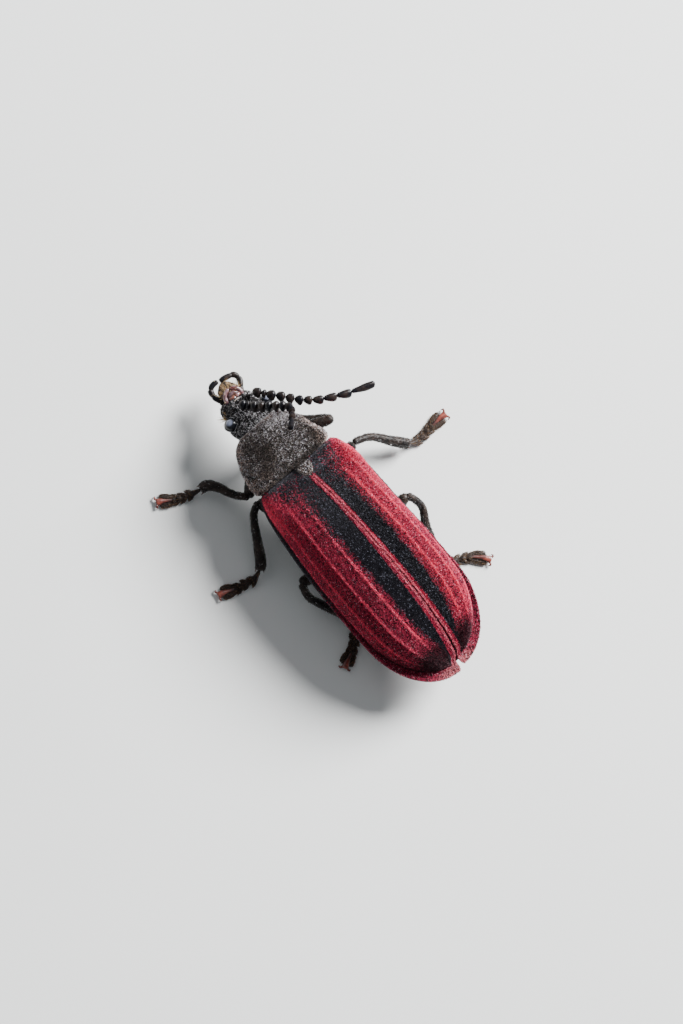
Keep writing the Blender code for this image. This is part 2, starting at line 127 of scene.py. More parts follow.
# Head, about the neck: (way forwards, half width, bottom, top).
NECK = (-0.05, -2.78)
HEAD_TURN = math.radians(-5.0)
HEAD = (
    (-0.34, 0.70, 1.32, 2.26), (0.02, 0.88, 1.16, 2.40), (0.25, 0.93, 1.07, 2.41), (0.50, 0.87, 1.04, 2.33),
    (0.75, 0.76, 1.05, 2.22), (1.00, 0.62, 1.08, 2.06), (1.20, 0.47, 1.14, 1.94), (1.30, 0.38, 1.22, 1.84))
EYE_PLACE = (0.82, -0.53, 1.91)
EYE_HALF_LENGTH = 0.26
EYE_RADII = (0.285, 0.295, 0.285)
# Way that the bluish reflection painted on each eye faces.
EYE_SHEEN_WAY = (0.30, -0.45, 0.80)

# Antenna's socket, cheek and knob before the eye, on the left: line, radii, rows, way up, share of hairs.
HEAD_SWELLINGS = (
    (((0.40, -1.02, 1.92), (0.41, -1.06, 2.02), (0.42, -1.10, 2.08)), (0.17, 0.16, 0.12), 18, (0, 1, 0), 0.4),
    (((0.56, -0.76, 1.50), (0.55, -1.05, 1.44), (0.38, -1.32, 1.36)), (0.20, 0.20, 0.14), 24, (0, 0, 1), 0.4),
    (((0.62, -0.78, 1.64), (0.64, -0.84, 1.76), (0.62, -0.87, 1.88)), (0.14, 0.15, 0.11), 18, (0, 1, 0), 0.1))

# Mouth, in head coordinates: lines through the middles of the parts, and radii along them.
JAW_LINES = (
    ((0.25, -1.20, 1.50), (0.31, -1.36, 1.53), (0.27, -1.52, 1.55), (0.14, -1.65, 1.56),
     (-0.05, -1.71, 1.56)),
    ((-0.31, -1.16, 1.50), (-0.39, -1.34, 1.53), (-0.36, -1.51, 1.56), (-0.23, -1.64, 1.57),
     (-0.04, -1.70, 1.57)))
JAW_RADII = (0.075, 0.085, 0.082, 0.08, 0.06)
LOWER_LIP_LINE = ((-0.03, -1.10, 1.32), (-0.06, -1.45, 1.26), (-0.09, -1.80, 1.20), (-0.10, -2.08, 1.18))
LOWER_LIP_RADII = (0.40, 0.44, 0.44, 0.40, 0.24)
UPPER_LIP_LINE = ((-0.04, -1.12, 1.63), (-0.05, -1.38, 1.61), (-0.06, -1.62, 1.55))
UPPER_LIP_RADII = (0.22, 0.26, 0.19)
UPPER_LIP_FOLDS = (-0.05, -1.43)
CLYPEUS_LINE = ((-0.26, -1.15, 1.91), (0.0, -1.22, 1.93), (0.24, -1.17, 1.91))
CLYPEUS_RADII = (0.012, 0.017, 0.012)

# Brushes at the mouth: the middle of each row of roots, and the way that its hairs point.
BRUSH_ROOTS = (
    (0.22, -1.62, 1.38, (0.25, -1, 0.05)), (0.02, -1.74, 1.38, (0.05, -1, 0.05)),
    (-0.20, -1.70, 1.42, (-0.15, -1, 0.1)), (-0.35, -1.54, 1.44, (-0.35, -1, 0.15)))
BRUSH_HALF_WIDTH = 0.09
BRUSH_RADII = (0.06, 0.06)
CHEEK_BRUSH_LINE = ((0.72, -0.88, 1.72), (0.80, -0.76, 1.76))
CHEEK_BRUSH_WAY = (0.8, -0.5, 0.2)

# Pale border round the front of the pronotum.
BORDER_Y = -2.72
BORDER_HALF_WIDTH = 0.84
BORDER_CROWN = 2.47
BORDER_RADII = (0.020, 0.028, 0.020)

FEELER_RIGHT = (
    (-0.66, -3.84, 2.34), (-0.82, -3.56, 2.50), (-0.99, -3.29, 2.66), (-1.22, -2.99, 2.80),
    (-1.42, -2.70, 2.90), (-1.67, -2.39, 2.96), (-1.93, -2.17, 2.98), (-2.22, -1.95, 2.98),
    (-2.73, -1.68, 2.94), (-3.37, -1.39, 2.86), (-4.35, -1.05, 2.80))
FEELER_LEFT = (
    (0.06, -3.80, 2.32), (-0.05, -3.58, 2.50), (-0.22, -3.35, 2.72), (-0.40, -3.12, 2.96),
    (-0.59, -2.91, 3.20), (-0.78, -2.69, 3.46), (-0.88, -2.50, 3.76), (-0.80, -2.34, 4.10),
    (-0.56, -2.17, 4.46), (-0.24, -1.99, 4.88), (0.12, -1.80, 5.34))
FEELER_ENDS = (0.075, 0.115, 0.19, 0.265, 0.335, 0.405, 0.475, 0.565, 0.675, 0.80, 1.0)
FEELER_RADII_RIGHT = (0.17, 0.15, 0.18, 0.18, 0.175, 0.165, 0.155, 0.15, 0.145, 0.145, 0.13)
FEELER_RADII_LEFT = (0.18, 0.16, 0.19, 0.19, 0.19, 0.185, 0.18, 0.15, 0.125, 0.12, 0.11)

PALP_LEFT = (
    (0.30, -1.28, 1.24), (0.40, -1.52, 1.23), (0.49, -1.80, 1.21), (0.46, -2.05, 1.20), (0.27, -2.19, 1.20),
    (0.02, -2.19, 1.22))
PALP_RIGHT = (
    (-0.42, -1.30, 1.26), (-0.60, -1.55, 1.24), (-0.73, -1.80, 1.20), (-0.66, -2.05, 1.20),
    (-0.36, -2.14, 1.20), (-0.05, -2.16, 1.20))
PALP_JOINTS = (
    (0.0, 0.20, (0.09, 0.11, 0.10)), (0.18, 0.46, (0.09, 0.11, 0.12, 0.11)),
    (0.44, 0.66, (0.09, 0.115, 0.12, 0.11)), (0.64, 1.0, (0.09, 0.11, 0.115, 0.11, 0.08)))

LEGS = {
    "front_left": {
        "femur": ((0.42, -1.95, 0.70), (0.95, -1.50, 0.72), (1.45, -1.12, 0.80), (1.72, -0.90, 0.92)),
        "tibia": ((1.72, -0.90, 0.92), (2.10, -1.36, 0.82), (2.33, -1.94, 0.70), (2.56, -2.27, 0.55),
                  (2.82, -2.32, 0.42)),
        "tarsus": ((3.23, -2.45), (3.55, -2.58), (3.83, -2.72), (4.28, -3.00), (4.51, -3.09))},
    "middle_left": {
        "femur": ((0.55, 1.15, 0.68), (1.05, 0.50, 0.74), (1.45, -0.08, 1.00), (1.72, -0.56, 1.34)),
        "tibia": ((1.72, -0.56, 1.34), (2.16, -0.26, 1.16), (2.58, 0.50, 0.86), (2.92, 1.18, 0.55),
                  (3.15, 1.42, 0.42)),
        "tarsus": ((3.52, 1.54), (3.92, 1.44), (4.23, 1.36), (4.80, 1.14), (5.08, 1.12))},
    "hind_left": {
        "femur": ((0.60, 3.45, 0.66), (1.20, 3.20, 0.68), (1.85, 2.92, 0.88), (2.48, 2.80, 1.16)),
        "tibia": ((2.48, 2.80, 1.16), (2.53, 3.40, 0.90), (2.22, 4.05, 0.70), (1.86, 4.70, 0.56),
                  (1.80, 5.20, 0.42)),
        "tarsus": ((1.92, 5.56), (2.14, 5.82), (2.45, 6.01), (2.90, 6.20), (3.18, 6.36))},
    "front_right": {
        "femur": ((-0.42, -1.95, 0.70), (-1.10, -1.72, 0.78), (-1.86, -1.42, 1.10), (-2.66, -1.10, 1.40)),
        "tibia": ((-2.62, -1.14, 1.32), (-2.50, -1.34, 1.00), (-2.04, -1.70, 0.68), (-1.68, -2.08, 0.42)),
        "tarsus": ((-1.60, -2.48), (-1.50, -2.86), (-1.36, -3.18), (-1.20, -3.54), (-1.04, -3.90))},
    "middle_right": {
        "femur": ((-0.55, 1.15, 0.68), (-1.20, 0.86, 0.72), (-1.90, 0.48, 0.92), (-2.66, 0.08, 1.26)),
        "tibia": ((-2.66, 0.08, 1.26), (-3.42, 0.38, 1.02), (-4.08, 1.04, 0.66), (-4.56, 1.50, 0.42)),
        "tarsus": ((-4.86, 1.60), (-5.23, 1.64), (-5.80, 1.58), (-6.23, 1.55), (-6.70, 1.58))},
    "hind_right": {
        "femur": ((-0.60, 3.45, 0.66), (-1.30, 3.30, 0.70), (-2.10, 3.08, 0.92), (-2.92, 2.90, 1.24)),
        "tibia": ((-2.92, 2.90, 1.24), (-3.13, 3.60, 1.02), (-2.82, 4.30, 0.76), (-2.45, 5.45, 0.42)),
        "tarsus": ((-2.78, 5.84), (-3.05, 6.00), (-3.52, 6.24), (-3.92, 6.60), (-4.18, 7.00))},
}
FOOT_HEIGHTS = (0.19, 0.12, 0.10, 0.09, 0.07)
BARE_SOLE = (0.05, 0.09)
HIP_RADII = (0.36, 0.34, 0.20)
HIP_TOP_Z = 1.22
TROCHANTER_RADII = (0.17, 0.20, 0.17)
FEMUR_RADII = (0.16, 0.24, 0.26, 0.25, 0.23, 0.21, 0.18)
TIBIA_RADII = (0.125, 0.135, 0.14, 0.15, 0.165, 0.185, 0.20, 0.185)
SPUR_RADII = (0.034, 0.026, 0.008)

# Feet. A segment has its begin and end as parts of the foot's length, its radius and its lobes' size.
FOOT_SEGMENTS = (
    (0.0, 0.25, 0.115, 0.8), (0.21, 0.39, 0.12, 0.9), (0.35, 0.52, 0.13, 1.0), (0.48, 0.62, 0.13, 0.0))
SEGMENT_SHAPE = (0.42, 0.60, 0.92, 0.90)
LOBE_RADII = (0.07, 0.085, 0.02)
PAD_PLACES = (0.50, 0.60, 0.73, 0.85)
PAD_SPREAD = (0.04, 0.085, 0.135, 0.16)
PAD_RADII = (0.07, 0.11, 0.14, 0.145, 0.11)
PAD_Z = 0.062
CLAW_SEGMENT = (0.54, 0.94)
CLAW_SEGMENT_HEIGHTS = (0.14, 0.15, 0.15, 0.14, 0.12)
CLAW_SEGMENT_RADII = (0.05, 0.055, 0.07, 0.115, 0.150)
CLAW_RADII = (0.050, 0.040, 0.028, 0.008)
CLAW_TIP_Z = 0.03

# Hairs on a square millimetre, where they aren't a user's choice.
FEELER_HAIRS = 130.0
PALP_HAIRS = 45.0
SCUTELLUM_HAIRS = 2600.0
HEAD_HAIRS = 1400.0
JAW_HAIRS = 70.0
BELLY_HAIRS = 420.0
BRUSH_HAIRS = 620.0
FRINGE_HAIRS = 2600.0

# Hair lengths and radii at the mouth and along the pale border, in metres.
JAW_HAIR_LENGTH = 0.00014
BRUSH_HAIR_LENGTH = 0.00036
BRUSH_HAIR_RADIUS = 0.000009
FRINGE_HAIR_LENGTH = 0.00006
FRINGE_HAIR_RADIUS = 0.000007

# The smallest and the largest hair, against the length and radius that are asked for.
HAIR_SIZES = (0.65, 1.25)

# How much darker than the pattern the skin under a coat and the deepest hairs are.
SKIN_SHADE = (0.5, 0.5, 0.5, 1.0)
DEEP_HAIR_SHADE = (0.35, 0.33, 0.38, 1.0)

# A hair's patch of the picture, across and along, about its root's own place.
HAIR_PATCH = (0.0006, 0.0024)

# A patch's place in its cell of the picture: sides, then its two round ends.
CELL_FILL = 0.94
CELL_MARGIN = 0.03
SIDES_SHARE = 0.9
END_PLACE = 0.955
END_REACH = (0.03, 0.15)
END_SPOTS = (0.25, 0.75)

# Camera: its right, up and backward directions, the point it looks at in millimetres, and its reach.
VIEW_RIGHT = (-0.7198, 0.6561, 0.2269)
VIEW_UP = (-0.6257, -0.7547, 0.1973)
VIEW_BACK = (0.3007, 0.0, 0.9537)
VIEW_TARGET = (0.537, -0.269, 2.0)
VIEW_HEIGHT = 38.40
LENS_MM = 400.0
SENSOR_MM = 36.0

# Lights: shares of the view's right, up and back, and size of the disc in metres.
KEY_LIGHT = (0.84, 0.70, 0.34, 0.12)
FILL_LIGHT = (-0.5, 0.55, 0.7, 0.14)
LIGHT_DISTANCE = 0.22
SKY_COLOUR = (0.90, 0.95, 1.0, 1.0)


def smooth_step(low, high, value):
    """0 up to low, 1 from high on, and a smooth rise between them."""
    part = np.clip((value - low) / (high - low), 0.0, 1.0)
    return part * part * (3 - 2 * part)


def bump(value, centre, width):
    """A round hill, 1 high at its centre."""
    return np.exp(-(((value - centre) / width) ** 2))


def profile_at(profile, places):
    """Values of a smooth curve through rows of (place, value, ...), one column for each value."""
    knots = np.array([row[0] for row in profile], dtype=float)
    values = np.array([row[1:] for row in profile], dtype=float)
    slopes = np.empty_like(values)
    slopes[1:-1] = (values[2:] - values[:-2]) / (knots[2:] - knots[:-2])[:, None]
    slopes[0] = (values[1] - values[0]) / (knots[1] - knots[0])
    slopes[-1] = (values[-1] - values[-2]) / (knots[-1] - knots[-2])
    places = np.clip(np.asarray(places, dtype=float), knots[0], knots[-1])
    index = np.clip(np.searchsorted(knots, places, side="right") - 1, 0, len(knots) - 2)
    span = (knots[index + 1] - knots[index])[:, None]
    part = (places - knots[index])[:, None] / span
    result = (
        values[index] * (2 * part**3 - 3 * part**2 + 1) + values[index + 1] * (3 * part**2 - 2 * part**3)
        + slopes[index] * span * (part**3 - 2 * part**2 + part)
        + slopes[index + 1] * span * (part**3 - part**2))
    return result[:, 0] if result.shape[1] == 1 else result


def path_at(points, parts):
    """Points at parts, 0 to 1, of the length of a smooth path, and the path's length."""
    table = [(number, *point) for number, point in enumerate(points)]
    dense = profile_at(table, np.linspace(0, len(points) - 1, 160))
    steps = np.concatenate(([0.0], np.cumsum(np.linalg.norm(np.diff(dense, axis=0), axis=1))))
    wanted = np.asarray(parts) * steps[-1]
    return np.stack([np.interp(wanted, steps, column) for column in dense.T], axis=1), steps[-1]


def unit(vectors):
    """The same directions with a length of one."""
    return vectors / np.maximum(np.linalg.norm(vectors, axis=-1, keepdims=True), TINY)


def bar_rings(points, radii, sides=16, rows=26, flat=1.0, up=(0, 0, 1), ends=(1.0, 1.0), tooth=0.0):
    """Rings of a rounded bar along a path. ends: round ends' lengths in radii. tooth: a bulge on one side."""
    part = (1 - np.cos(np.pi * np.linspace(0, 1, rows))) / 2
    path, length = path_at(points, part)
    radius = profile_at([(number / (len(radii) - 1), value) for number, value in enumerate(radii)], part)
    narrow = np.ones(rows)
    for distance, blunt in ((part * length, ends[0]), ((1 - part) * length, ends[1])):
        near = np.clip(distance / np.maximum(radius * blunt, TINY), 0, 1)
        narrow = narrow * np.sqrt(np.clip(1 - (1 - near) ** 2, 0.0009, 1))
    radius = radius * narrow
    tangent = unit(np.gradient(path, axis=0))
    side = unit(np.cross(tangent, np.asarray(up, dtype=float)))
    lift = np.cross(side, tangent)
    turn = 2 * np.pi * np.arange(sides) / sides
    reach = smooth_step(0.1, 0.75, part) * (1 - smooth_step(0.86, 1.0, part))
    swell = 1 + tooth * np.clip(np.cos(turn), 0, 1)[None, :] ** 2 * reach[:, None]
    wide = (radius[:, None] * np.cos(turn)[None, :] * swell)[..., None] * side[:, None, :]
    tall = (radius[:, None] * flat * np.sin(turn)[None, :])[..., None] * lift[:, None, :]
    return path[:, None, :] + wide + tall


def roughen(rings, amount, scale, offset=0.0):
    """Small uneven swellings along each point's way out from its ring's middle."""
    middle = rings.mean(axis=1, keepdims=True)
    out = unit(rings - middle)
    flat = rings.reshape(-1, 3)
    waves = np.array([noise.noise(Vector(point) * scale + Vector((offset, 0, 0))) for point in flat])
    return rings + out * waves.reshape(rings.shape[:2])[..., None] * amount


def from_head(rings):
    """Head coordinates, about the neck, to beetle coordinates."""
    cosine, sine = math.cos(HEAD_TURN), math.sin(HEAD_TURN)
    turned = np.array(rings, dtype=float)
    x, y = turned[..., 0].copy(), turned[..., 1].copy()
    turned[..., 0] = cosine * x - sine * y + NECK[0]
    turned[..., 1] = sine * x + cosine * y + NECK[1]
    return turned


def mirrored(line, side):
    """A line of the left side, side = 1, or the same one on the right, side = -1."""
    return tuple((side * x, y, z) for x, y, z in line)


def lengthways(values, columns):
    """Values along a bar, the same all round it."""
    return values[:, None] * np.ones((1, columns))


def with_ends(values):
    """A row for each point of the rings, then one for the middle of the first ring and of the last."""
    rows = values.reshape(-1, values.shape[-1])
    return np.concatenate([rows, values[0].mean(axis=0)[None], values[-1].mean(axis=0)[None]])


def slow_waves(across, y, scale, layer):
    """Slow noise for each point of a patch; each layer has waves of its own."""
    return np.array([
        [noise.noise(Vector((float(here_x) * scale, float(here_y) * scale, layer))) for here_x in row]
        for row, here_y in zip(across, y)])


class Plates:
    """Collects closed patches and makes them one object, with attributes for the materials and the hairs."""

    NUMBERS = ("fur", "across", "along", "edge", "ridge", "groove")

    def __init__(self):
        self.points, self.faces, self.corners, self.cells = [], [], [], []
        self.flow = []
        self.numbers = {name: [] for name in self.NUMBERS}
        self.count = 0
        self.patches = 0

    def add(self, rings, flow=None, **numbers):
        """Adds one closed patch from its rings of points, with its attributes by name."""
        rings = np.asarray(rings, dtype=float)
        rows, columns, _ = rings.shape
        index = self.count + np.arange(rows * columns).reshape(rows, columns)
        beside = np.roll(index, -1, axis=1)
        quads = np.stack([index[:-1], beside[:-1], beside[1:], index[1:]], axis=-1).reshape(-1, 4)
        down, round_about = np.linspace(0.0, SIDES_SHARE, rows), np.arange(columns + 1) / columns
        low, here = np.meshgrid(down[:-1], round_about[:-1], indexing="ij")
        high, there = np.meshgrid(down[1:], round_about[1:], indexing="ij")
        corners = np.stack([low, here, low, there, high, there, high, here], axis=-1).reshape(-1, 4, 2)
        first, last = self.count + rows * columns, self.count + rows * columns + 1
        ends = []
        disc = 2 * np.pi * np.arange(columns) / columns
        for centre, ring, order, spot in ((first, 0, 1, END_SPOTS[0]), (last, rows - 1, -1, END_SPOTS[1])):
            round_uv = np.stack(
                [END_PLACE + END_REACH[0] * np.cos(disc), spot + END_REACH[1] * np.sin(disc)], axis=-1)
            for column in range(columns):
                after = (column + 1) % columns
                face, spots = (index[ring, after], index[ring, column]), (round_uv[after], round_uv[column])
                if order < 0:
                    face, spots = face[::-1], spots[::-1]
                ends.append(((centre, *face), ((END_PLACE, spot), *spots)))
        points = with_ends(rings)
        one, two, three, four = (points[column - self.count] for column in quads.T)
        volume = np.einsum("ij,ij->", one, np.cross(two, three))
        volume += np.einsum("ij,ij->", one, np.cross(three, four))
        for face, _ in ends:
            one, two, three = (points[int(number) - self.count] for number in face)
            volume += float(np.dot(one, np.cross(two, three)))
        turn = slice(None, None, -1 if volume < 0 else 1)
        for quad, corner in zip(quads.tolist(), corners.tolist()):
            self.faces.append(quad[turn])
            self.corners.extend(corner[turn])
            self.cells.extend([self.patches] * 4)
        for face, spots in ends:
            self.faces.append([int(number) for number in face][turn])
            self.corners.extend([list(map(float, spot)) for spot in spots][turn])
            self.cells.extend([self.patches] * 3)
        way = unit(np.gradient(rings, axis=0))
        if flow is not None:
            way = np.broadcast_to(np.asarray(flow, dtype=float), rings.shape)
        self.flow.append(with_ends(way))
        for name in self.NUMBERS:
            plain = 1.0 if name == "fur" else 0.0
            value = np.broadcast_to(np.asarray(numbers.get(name, plain)), (rows, columns))
            self.numbers[name].append(np.concatenate([value.ravel(), [value[0].mean(), value[-1].mean()]]))
        self.points.append(points)
        self.count += len(points)
        self.patches += 1

    def build(self, name, material, replaced=()):
        """Makes the object. Hairs don't grow on the soles, next to the floor."""
        points = (np.concatenate(self.points) + SHIFT) * MM
        mesh = bpy.data.meshes.new(name)
        mesh.from_pydata(points.tolist(), [], self.faces)
        grid = math.ceil(math.sqrt(self.patches))
        cells = np.array(self.cells)
        corner = np.stack([cells % grid, cells // grid], axis=-1)
        spots = (np.array(self.corners) * CELL_FILL + CELL_MARGIN + corner) / grid
        layer = mesh.uv_layers.new(name="OFBake")
        layer.data.foreach_set("uv", spots.astype(np.float32).ravel())
        above_floor = smooth_step(BARE_SOLE[0], BARE_SOLE[1], points[:, 2] / MM)
        for key, parts in self.numbers.items():
            values = np.concatenate(parts) * (above_floor if key == "fur" else 1.0)
            mesh.attributes.new(key, "FLOAT", "POINT").data.foreach_set("value", values.astype(np.float32))
        way = mesh.attributes.new("flow", "FLOAT_VECTOR", "POINT")
        way.data.foreach_set("vector", np.concatenate(self.flow).astype(np.float32).ravel())
        mesh.materials.append(material)
        mesh.shade_smooth()
        mesh.set_sharp_from_angle(angle=SHARP_ANGLE)
        return settle(bpy.data.objects.new(name, mesh), replaced)


def settle(thing, replaced=()):
    """Links a finished piece, lets it ride on the beetle and hides the imported parts that it stands for."""
    bpy.context.scene.collection.objects.link(thing)
    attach(thing, "root")
    if replaced:
        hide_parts(*replaced)
    return thing


def node(tree, kind, inputs=None, **settings):
    """A new node with its settings made, and its inputs linked from sockets or set to values."""
    made = tree.nodes.new(kind)
    for key, value in settings.items():
        setattr(made, key, value)
    for key, value in (inputs or {}).items():
        if isinstance(value, bpy.types.NodeSocket):
            tree.links.new(value, made.inputs[key])
        else:
            made.inputs[key].default_value = value
    return made


def math_node(tree, operation, *values):
    """The result of one sum on sockets or numbers."""
    return node(tree, "ShaderNodeMath", dict(enumerate(values)), operation=operation).outputs[0]


def blend_colours(tree, factor, first, second):
    """The first colour at a factor of 0, the second at 1. Each is a socket or three numbers."""
    inputs = {0: factor}
    for number, colour in ((6, first), (7, second)):
        inputs[number] = colour if isinstance(colour, bpy.types.NodeSocket) else (*colour, 1.0)
    return node(tree, "ShaderNodeMix", inputs, data_type="RGBA").outputs[2]


def ramp(tree, value, low, high, start=0.0, end=1.0):
    """A smooth change from start, where the value is low, to end, where it is high."""
    inputs = {"Value": value, "From Min": low, "From Max": high, "To Min": start, "To Max": end}
    return node(tree, "ShaderNodeMapRange", inputs, interpolation_type="SMOOTHSTEP").outputs["Result"]


def ramp_linear(tree, value, low, high):
    """The value's place between low and high, from 0 to 1."""
    inputs = {"Value": value, "From Min": low, "From Max": high}
    return node(tree, "ShaderNodeMapRange", inputs).outputs["Result"]


def darken(tree, colour, amount):
    """A colour multiplied by another."""
    inputs = {0: 1.0, 6: colour, 7: amount}
    return node(tree, "ShaderNodeMix", inputs, data_type="RGBA", blend_type="MULTIPLY").outputs[2]


def read_number(tree, name):
    """One of the plates' attributes, or the hairs' tone."""
    return node(tree, "ShaderNodeAttribute", attribute_name=name).outputs["Fac"]


def grain(tree, scale, detail=2.0, rough=0.6):
    """Noise on object coordinates; scale is in repeats for each millimetre."""
    place = node(tree, "ShaderNodeTexCoord").outputs["Object"]
    inputs = {"Vector": place, "Scale": scale / MM, "Detail": detail, "Roughness": rough}
    return node(tree, "ShaderNodeTexNoise", inputs).outputs["Fac"]


def pits(tree, scale):
    """Distance from the middle of the nearest pit; scale is in pits for each millimetre."""
    place = node(tree, "ShaderNodeTexCoord").outputs["Object"]
    return node(tree, "ShaderNodeTexVoronoi", {"Vector": place, "Scale": scale / MM}).outputs["Distance"]


def relief(tree, shader, height, depth_mm, strength=0.6):
    """Gives the shader a surface with fine ups and downs."""
    inputs = {"Height": height, "Distance": depth_mm * MM, "Strength": strength}
    tree.links.new(node(tree, "ShaderNodeBump", inputs).outputs[0], shader.inputs["Normal"])


def new_material(name, **values):
    """Makes a material with a Principled shader, and sets plain values on the shader's own sockets."""
    material = bpy.data.materials.new(LOOK + name)
    material.use_nodes = True
    shader = material.node_tree.nodes["Principled BSDF"]
    for key, value in values.items():
        shader.inputs[key.replace("_", " ")].default_value = value
    return material.node_tree, shader


def look(name):
    """One of this script's own materials."""
    return bpy.data.materials[LOOK + name]


def stripe_outer_edge(tree, along):
    """How far from the suture the black stripe reaches, by the place along the elytra."""
    part = ramp_linear(tree, along, ELYTRA_BASE_Y, ELYTRA_APEX_Y)
    curve = node(tree, "ShaderNodeFloatCurve", {"Value": part})
    line = curve.mapping.curves[0]
    span = ELYTRA_APEX_Y - ELYTRA_BASE_Y
    wanted = [((y - ELYTRA_BASE_Y) / span, value / STRIPE_SCALE) for y, value in STRIPE_EDGE]
    line.points[0].location, line.points[1].location = wanted[0], wanted[-1]
    for place in wanted[1:-1]:
        line.points.new(*place)
    curve.mapping.update()
    return product(tree, curve.outputs[0], STRIPE_SCALE)


def product(tree, first, *others):
    """All the factors multiplied."""
    for other in others:
        first = math_node(tree, "MULTIPLY", first, other)
    return first


def largest(tree, first, *others):
    """The largest of the values."""
    for other in others:
        first = math_node(tree, "MAXIMUM", first, other)
    return first


def specks(tree, scale):
    """Two random numbers, 0 to 1, for each cell of a fine grain; scale is in cells for each millimetre."""
    place = node(tree, "ShaderNodeTexCoord").outputs["Object"]
    cells = node(tree, "ShaderNodeTexVoronoi", {"Vector": place, "Scale": scale / MM})
    parts = node(tree, "ShaderNodeSeparateColor", {"Color": cells.outputs["Color"]})
    return parts.outputs["Red"], parts.outputs["Green"]


def elytra_pattern(tree, colours):
    """The elytra's markings, as grains that are red or black by chance."""
    across, along = read_number(tree, "across"), read_number(tree, "along")
    edge, ridge = read_number(tree, "edge"), read_number(tree, "ridge")
    cell, glint = specks(tree, ELYTRA_GRAIN)
    wobble = math_node(tree, "MULTIPLY_ADD", grain(tree, 2.6, 3.0), 0.24, -0.12)
    beyond = math_node(tree, "SUBTRACT", math_node(tree, "ADD", across, wobble),
                       stripe_outer_edge(tree, along))
    soft = ramp(tree, along, 0.2, 4.0, 0.75, 0.30)
    inner = math_node(tree, "SUBTRACT", across, ramp(tree, along, 0.5, 6.0, 0.09, 0.19))
    inside = ramp(tree, inner, 0.0, 0.07)
    stripe = product(tree, ramp(tree, math_node(tree, "DIVIDE", beyond, soft), -0.4, 1.0, 1.1, 0.0), inside,
                     ramp(tree, along, 0.0, 2.5, 0.87, 1.0))
    smoke = product(tree, ramp(tree, beyond, 0.0, 1.0, 0.66, 0.0), ramp(tree, along, 1.0, 6.0, 1.0, 0.7))
    front = product(tree, ramp(tree, along, -0.3, 1.6, 0.88, 0.0), ramp(tree, across, 1.1, 2.2, 1.0, 0.0))
    smoke = product(tree, largest(tree, smoke, front), inside, ramp(tree, along, 7.0, 8.0, 1.0, 0.3),
                    ramp(tree, ridge, 0.1, 0.8, 1.0, 0.1))
    share = product(tree, ramp(tree, ridge, 0.1, 0.8, 0.34, 0.10), ramp(tree, inner, 0.0, 0.04, 0.55, 1.0),
                    ramp(tree, edge, 0.0, 1.0, 1.0, 0.85), ramp(tree, along, 1.0, 5.0, 0.6, 1.0))
    base = product(tree, ramp(tree, along, -0.47, -0.38, 1.0, 0.0), ramp(tree, across, 1.5, 2.0, 1.0, 0.3))
    side_end = ramp(tree, math_node(tree, "MULTIPLY_ADD", wobble, 2.0, along), 3.0, 5.5, 1.0, 0.1)
    side = product(tree, edge, side_end)
    chance = largest(tree, stripe, smoke, base, side, share)
    shade = math_node(tree, "MULTIPLY_ADD", ridge, 0.5, product(tree, grain(tree, 1.1, 3.0), 0.5))
    shade = math_node(tree, "MULTIPLY_ADD", cell, 0.35, shade)
    red = blend_colours(tree, ramp(tree, shade, 0.15, 0.85), colours.red_dark, colours.red_bright)
    # Painted shade: the rim is darkened towards dark red.
    red = blend_colours(tree, product(tree, edge, 0.65), red, colours.red_dark)
    tip = product(tree, ramp(tree, along, 8.6, 9.0), ramp(tree, across, 0.45, 1.1, 1.0, 0.15))
    red = blend_colours(tree, product(tree, tip, 0.8), red, colours.red_pale)
    red = blend_colours(tree, ramp(tree, across, 0.04, 0.11, 0.28, 0.0), red, colours.red_pale)
    # Painted shade: the apex's slope inside the rim, which faces away from the light, and the hollow beside
    # the rim are darkened towards dark red, with more dark grains and fewer pale glints.
    tip_shade = product(tree, ramp(tree, along, 7.3, 8.2), ramp(tree, along, 8.84, 8.90, 1.0, 0.0), inside,
                        ramp(tree, edge, 0.3, 1.0, 1.0, 0.0), ramp(tree, across, 1.0, 2.4, 1.0, 0.2))
    shadow = largest(tree, tip_shade, read_number(tree, "groove"))
    dull = product(tree, largest(tree, shadow, product(tree, stripe, 0.5)), 0.93)
    red = blend_colours(tree, dull, red, colours.red_speck_and_shade)
    chance = largest(tree, chance, product(tree, tip_shade, 0.85))
    black = ramp(tree, math_node(tree, "SUBTRACT", cell, chance), -0.05, 0.05, 1.0, 0.0)
    deep = ramp(tree, largest(tree, stripe, smoke, base, side), 0.25, 0.60)
    velvet = blend_colours(tree, ramp(tree, along, 0.3, 3.6, 0.5, 0.0), colours.black_velvet,
                           colours.base_grey)
    dark = blend_colours(tree, deep, colours.red_speck_and_shade, velvet)
    dark = blend_colours(tree, largest(tree, base, product(tree, side, 0.6)), dark, colours.base_grey)
    mixed = blend_colours(tree, black, red, dark)
    # The palest grains are painted glints of light on the hair tips: more at the tip, the edges and the
    # stripes, and fewer in the painted shadow.
    more = largest(tree, product(tree, tip, 0.12), product(tree, edge, 0.025), product(tree, stripe, 0.022))
    pale = ramp(tree, math_node(tree, "ADD", glint, more), 0.94, 0.97, 0.0, 0.75)
    pale = product(tree, pale, math_node(tree, "SUBTRACT", 1.0, product(tree, shadow, 0.9)))
    return blend_colours(tree, pale, mixed, blend_colours(tree, deep, colours.red_glint, colours.black_glint))


def head_pattern(tree, colours):
    """Black ground with pale grains, mostly on the top of the head."""
    cell, glint = specks(tree, PRONOTUM_GRAIN)
    patches = math_node(tree, "MULTIPLY_ADD", grain(tree, 2.0, 2.0), 0.24, -0.12)
    level = math_node(tree, "ADD", math_node(tree, "ADD", glint, patches), read_number(tree, "ridge"))
    shade = blend_colours(tree, ramp(tree, cell, 0.5, 0.9), colours.cuticle, colours.cuticle_brown)
    shade = blend_colours(tree, ramp(tree, level, 0.80, 0.86), shade, colours.hair_grey)
    return blend_colours(tree, ramp(tree, level, 0.90, 0.95), shade, colours.hair_pale)


